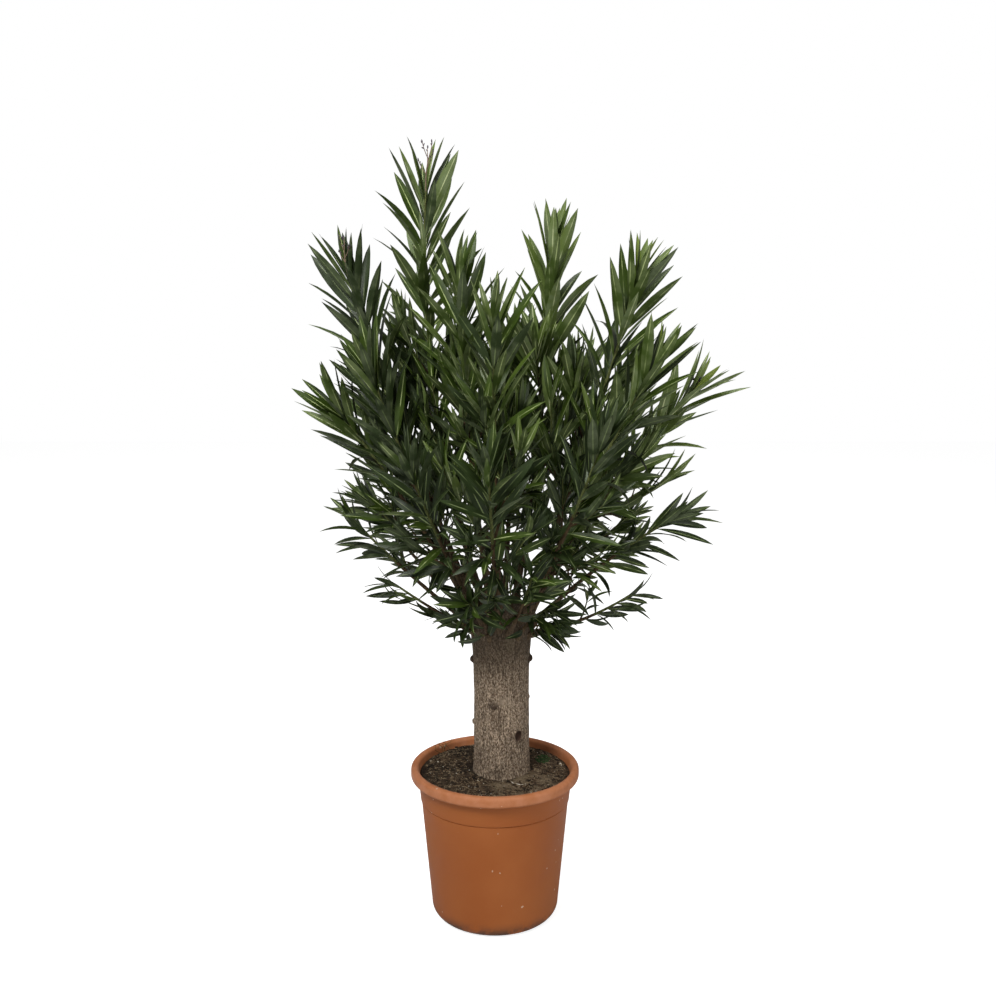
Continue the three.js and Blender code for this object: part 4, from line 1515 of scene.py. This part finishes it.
def leafFaces():
    # the faces of one leaf, with the finish of each: 0 top, 1 rib, 2 underside
    rings = len(leafShape["stations"]) - 1
    tip = rings * 6
    kinds = [0, 1, 0, 2, 1, 2]
    faces = []
    finishes = []
    for ring in range(rings):
        for k in range(6):
            after = (k + 1) % 6
            a = ring * 6 + k
            b = ring * 6 + after
            if ring < rings - 1:
                faces.append((a, a + 6, b + 6, b))
            else:
                faces.append((a, tip, b))
            finishes.append(kinds[k])
    faces.append((0, 1, 2, 3, 4, 5))
    finishes.append(2)
    return faces, finishes


def leafFinish(name, first, second, roughness, specular):
    finish = Finish(name, roughness=roughness, specular=specular)
    tone = finish.group("mottle", First=first, Second=second, Scale=22.0, Specks=0.15)
    finish.color(tone.outputs["Color"])
    finish.roughness(tone.outputs["Mask"], roughness - 0.06, roughness + 0.06)
    grain = finish.group("grain", Scale=420.0)
    finish.bump(grain.outputs["Height"], 0.0004, 0.3)
    return finish.material


def addLeaves():
    faces, finishes = leafFaces()
    cornerCount = (len(leafShape["stations"]) - 1) * 6 + 1
    replaced = [name for name in nodeNames if name.startswith("leaves_")]
    made = 0
    for number, (tint, colors) in enumerate(tints.items()):
        materials = [
            leafFinish(f"{tint}Leaf{part.capitalize()}", colors[part], colors["fleck"], *gloss)
            for part, gloss in leafGloss.items()
        ]
        chosen = np.nonzero(leafTable["tint"] == number)[0]
        pieces = math.ceil(len(chosen) / leafShape["perPiece"])
        for piece, picked in enumerate(np.array_split(chosen, max(1, pieces))):
            if not len(picked):
                continue
            rows = {key: values[picked] for key, values in leafTable.items()}
            points = leafPoints(rows).reshape(-1, 3) + trunkAxis
            allFaces = []
            for leaf in range(len(picked)):
                first = leaf * cornerCount
                allFaces.extend([tuple(first + corner for corner in face) for face in faces])
            name = f"leaves_{tint}_{piece + 1}"
            stands = replaced if made == 0 else ()
            meshPiece(name, points, allFaces, materials, stands, finishes * len(picked), sharp=62)
            made += 1
    return made


print("leaf pieces made:", addLeaves())


# boughs, stems and twigs

bark = {
    "boughSides": 10,
    "twigSides": 5,
    "collar": 0.9,  # how much thicker a bough is where it leaves the head
    "collarFrom": 0.02,
    "collarLength": 0.028,
    "rough": 0.035,
    "ringEvery": 0.034,  # faint rings where whorls of leaves once stood
    "ringWidth": 0.0022,
    "old": paint(84, 68, 50),
    "oldPale": paint(108, 92, 70),
    "oldDark": paint(42, 32, 23),
    "red": paint(70, 54, 36),
    "redPale": paint(88, 72, 48),
    "olive": paint(76, 82, 42),
    "olivePale": paint(100, 106, 60),
}


def rodMesh(limb, footSize, endSize, sides, steps, collar=0.0, rough=0.0):
    shares = np.linspace(0.0, 1.0, steps + 1)
    point, _, side, over = frameAt(limb, shares)
    run = shares * limb["length"]
    size = mix(footSize, endSize, shares)
    size = size * (1 + collar * np.exp(-((run - bark["collarFrom"]) / bark["collarLength"]).clip(0)))
    turns = np.linspace(0.0, 2 * math.pi, sides, endpoint=False)
    ring = side[:, None] * np.cos(turns)[None, :, None] + over[:, None] * np.sin(turns)[None, :, None]
    wobble = np.ones((steps + 1, sides))
    if rough:
        phase = point[0, 0] * 90 + point[0, 1] * 70
        wobble += rough * np.sin(run[:, None] * 240 + turns * 3 + phase)
        wobble += rough * 0.7 * np.sin(run[:, None] * 97 - turns * 2 + phase)
        apart = (run[:, None] + phase) % bark["ringEvery"] - bark["ringEvery"] / 2
        wobble += rough * 1.6 * np.exp(-(apart / bark["ringWidth"]) ** 2)
    points = (point[:, None] + ring * size[:, None, None] * wobble[..., None]).reshape(-1, 3)
    faces = []
    for step in range(steps):
        for k in range(sides):
            a = step * sides + k
            b = step * sides + (k + 1) % sides
            faces.append((a, b, b + sides, a + sides))
    faces.append(tuple(range(sides - 1, -1, -1)))
    faces.append(tuple(steps * sides + k for k in range(sides)))
    return points, faces


def addLimbs():
    materials = []
    for name, pale, mid, dark, scale, width in (
        ("boughBark", bark["oldPale"], bark["old"], bark["oldDark"], 150.0, 0.06),
        ("stemBark", bark["redPale"], bark["red"], bark["oldDark"], 190.0, 0.03),
        ("tipBark", bark["olivePale"], bark["olive"], bark["red"], 190.0, 0.02),
    ):
        materials.append(barkFinish(name, pale, mid, dark, scale, width).material)
    parts = []
    kinds = []
    sides = bark["boughSides"]
    for shoot in plantShoots:
        limb = shoot["limb"]
        foot = footRadius(limb) if shoot["bare"] else limbs["footRadius"]
        steps = max(8, round(limb["length"] / 0.012))
        part = rodMesh(limb, foot, limbs["tipRadius"], sides, steps, bark["collar"], bark["rough"])
        parts.append(part)
        # brown at the foot, reddish in the middle, olive near the tip
        for face in part[1]:
            share = min(face) // sides / steps
            kinds.append(0 if share < 0.30 else 1 if share < 0.62 else 2)
    points, faces = joinParts(parts)
    boughNodes = [name for name in nodeNames if name.startswith("bough_")]
    meshPiece("boughs", points + trunkAxis, faces, materials, boughNodes, kinds, sharp=70)
    parts = []
    kinds = []
    sides = bark["twigSides"]
    for limb, foot in stems:
        steps = max(4, round(limb["length"] / 0.03))
        part = rodMesh(limb, foot, twigRule["endRadius"], sides, steps)
        parts.append(part)
        for face in part[1]:
            kinds.append(0 if min(face) // sides / steps < 0.45 else 1)
    points, faces = joinParts(parts)
    meshPiece("twigs", points + trunkAxis, faces, materials[1:], (), kinds, sharp=70)
    return len(faces)


print("limbs made:", addLimbs(), "twig faces")


# flower stalks

panicle = {
    "stalk": 0.094,
    "branch": 0.044,
    "branches": 4,
    "radius": 0.0011,
    "steep": 50,
    "buds": 4,
    "budLength": 0.0075,
    "budWidth": 0.0030,
    "stalkColor": paint(112, 90, 78),
    "stalkPale": paint(132, 114, 92),
    "bud": paint(50, 40, 52),
    "budPale": paint(78, 62, 78),
}


def budMesh(point, along, size):
    across = unit(np.cross(along, [0.3, 0.9, 0.1]))
    other = np.cross(along, across)
    points, faces = ballMesh((0, 0, 0), 1.0, rings=6, sides=6)
    shape = np.stack([across, other, along])
    taper = 1 - 0.35 * (points[:, 2:3] > 0) * points[:, 2:3]
    local = points * np.array([panicle["budWidth"], panicle["budWidth"], panicle["budLength"]]) * 0.5 * size
    local[:, :2] *= taper
    return local @ shape + point + along * panicle["budLength"] * 0.4 * size, faces


def addFlowerStalks():
    stalks = []
    buds = []
    for shoot in plantShoots:
        scale = flowering.get(shoot["name"])
        if not scale:
            continue
        draw = seeded(shoot["seed"] + 17)
        point, along, _, _ = [row[0] for row in frameAt(shoot["limb"], 1.0)]
        foot = point - along * 0.002
        stalk = twigLimb(foot, shoot["azimuth"], elevationOf(along), panicle["stalk"] * scale)
        stalks.append(rodMesh(stalk, panicle["radius"] * 1.5, panicle["radius"], 6, 8))
        for i in range(panicle["branches"] + 1):
            last = i == panicle["branches"]
            share = 0.97 if last else mix(0.42, 0.88, i / panicle["branches"])
            spot, way, _, _ = [row[0] for row in frameAt(stalk, share)]
            turn = shoot["azimuth"] + i * twigRule["turn"]
            steep = elevationOf(way) if last else panicle["steep"]
            length = scale * panicle["branch"] * (0.4 if last else draw(0.75, 1.05))
            branch = twigLimb(spot, turn, steep, length)
            stalks.append(rodMesh(branch, panicle["radius"], panicle["radius"] * 0.7, 5, 4))
            # one bud ends the branch and the rest lean out along it
            for k in range(panicle["buds"]):
                at = 1.0 if k == 0 else mix(0.5, 0.95, k / (panicle["buds"] - 1))
                end, heading, side, over = [row[0] for row in frameAt(branch, at)]
                lean = 0.0 if k == 0 else 0.9
                around = draw(0, 2 * math.pi)
                heading = unit(heading + lean * (side * math.cos(around) + over * math.sin(around)))
                buds.append(budMesh(end, heading, draw(0.8, 1.15)))
    stalkTones = (panicle["stalkColor"], panicle["stalkPale"])
    budTones = (panicle["bud"], panicle["budPale"])
    stalkFinish = mottledFinish("flowerStalk", *stalkTones, 120.0, 0.3, roughness=0.6)
    budFinish = mottledFinish("flowerBud", *budTones, 160.0, 0.3, roughness=0.5)
    points, faces = joinParts(stalks)
    meshPiece("flower_stalks", points + trunkAxis, faces, [stalkFinish])
    points, faces = joinParts(buds)
    meshPiece("flower_buds", points + trunkAxis, faces, [budFinish])


addFlowerStalks()
print("flower stalks made")
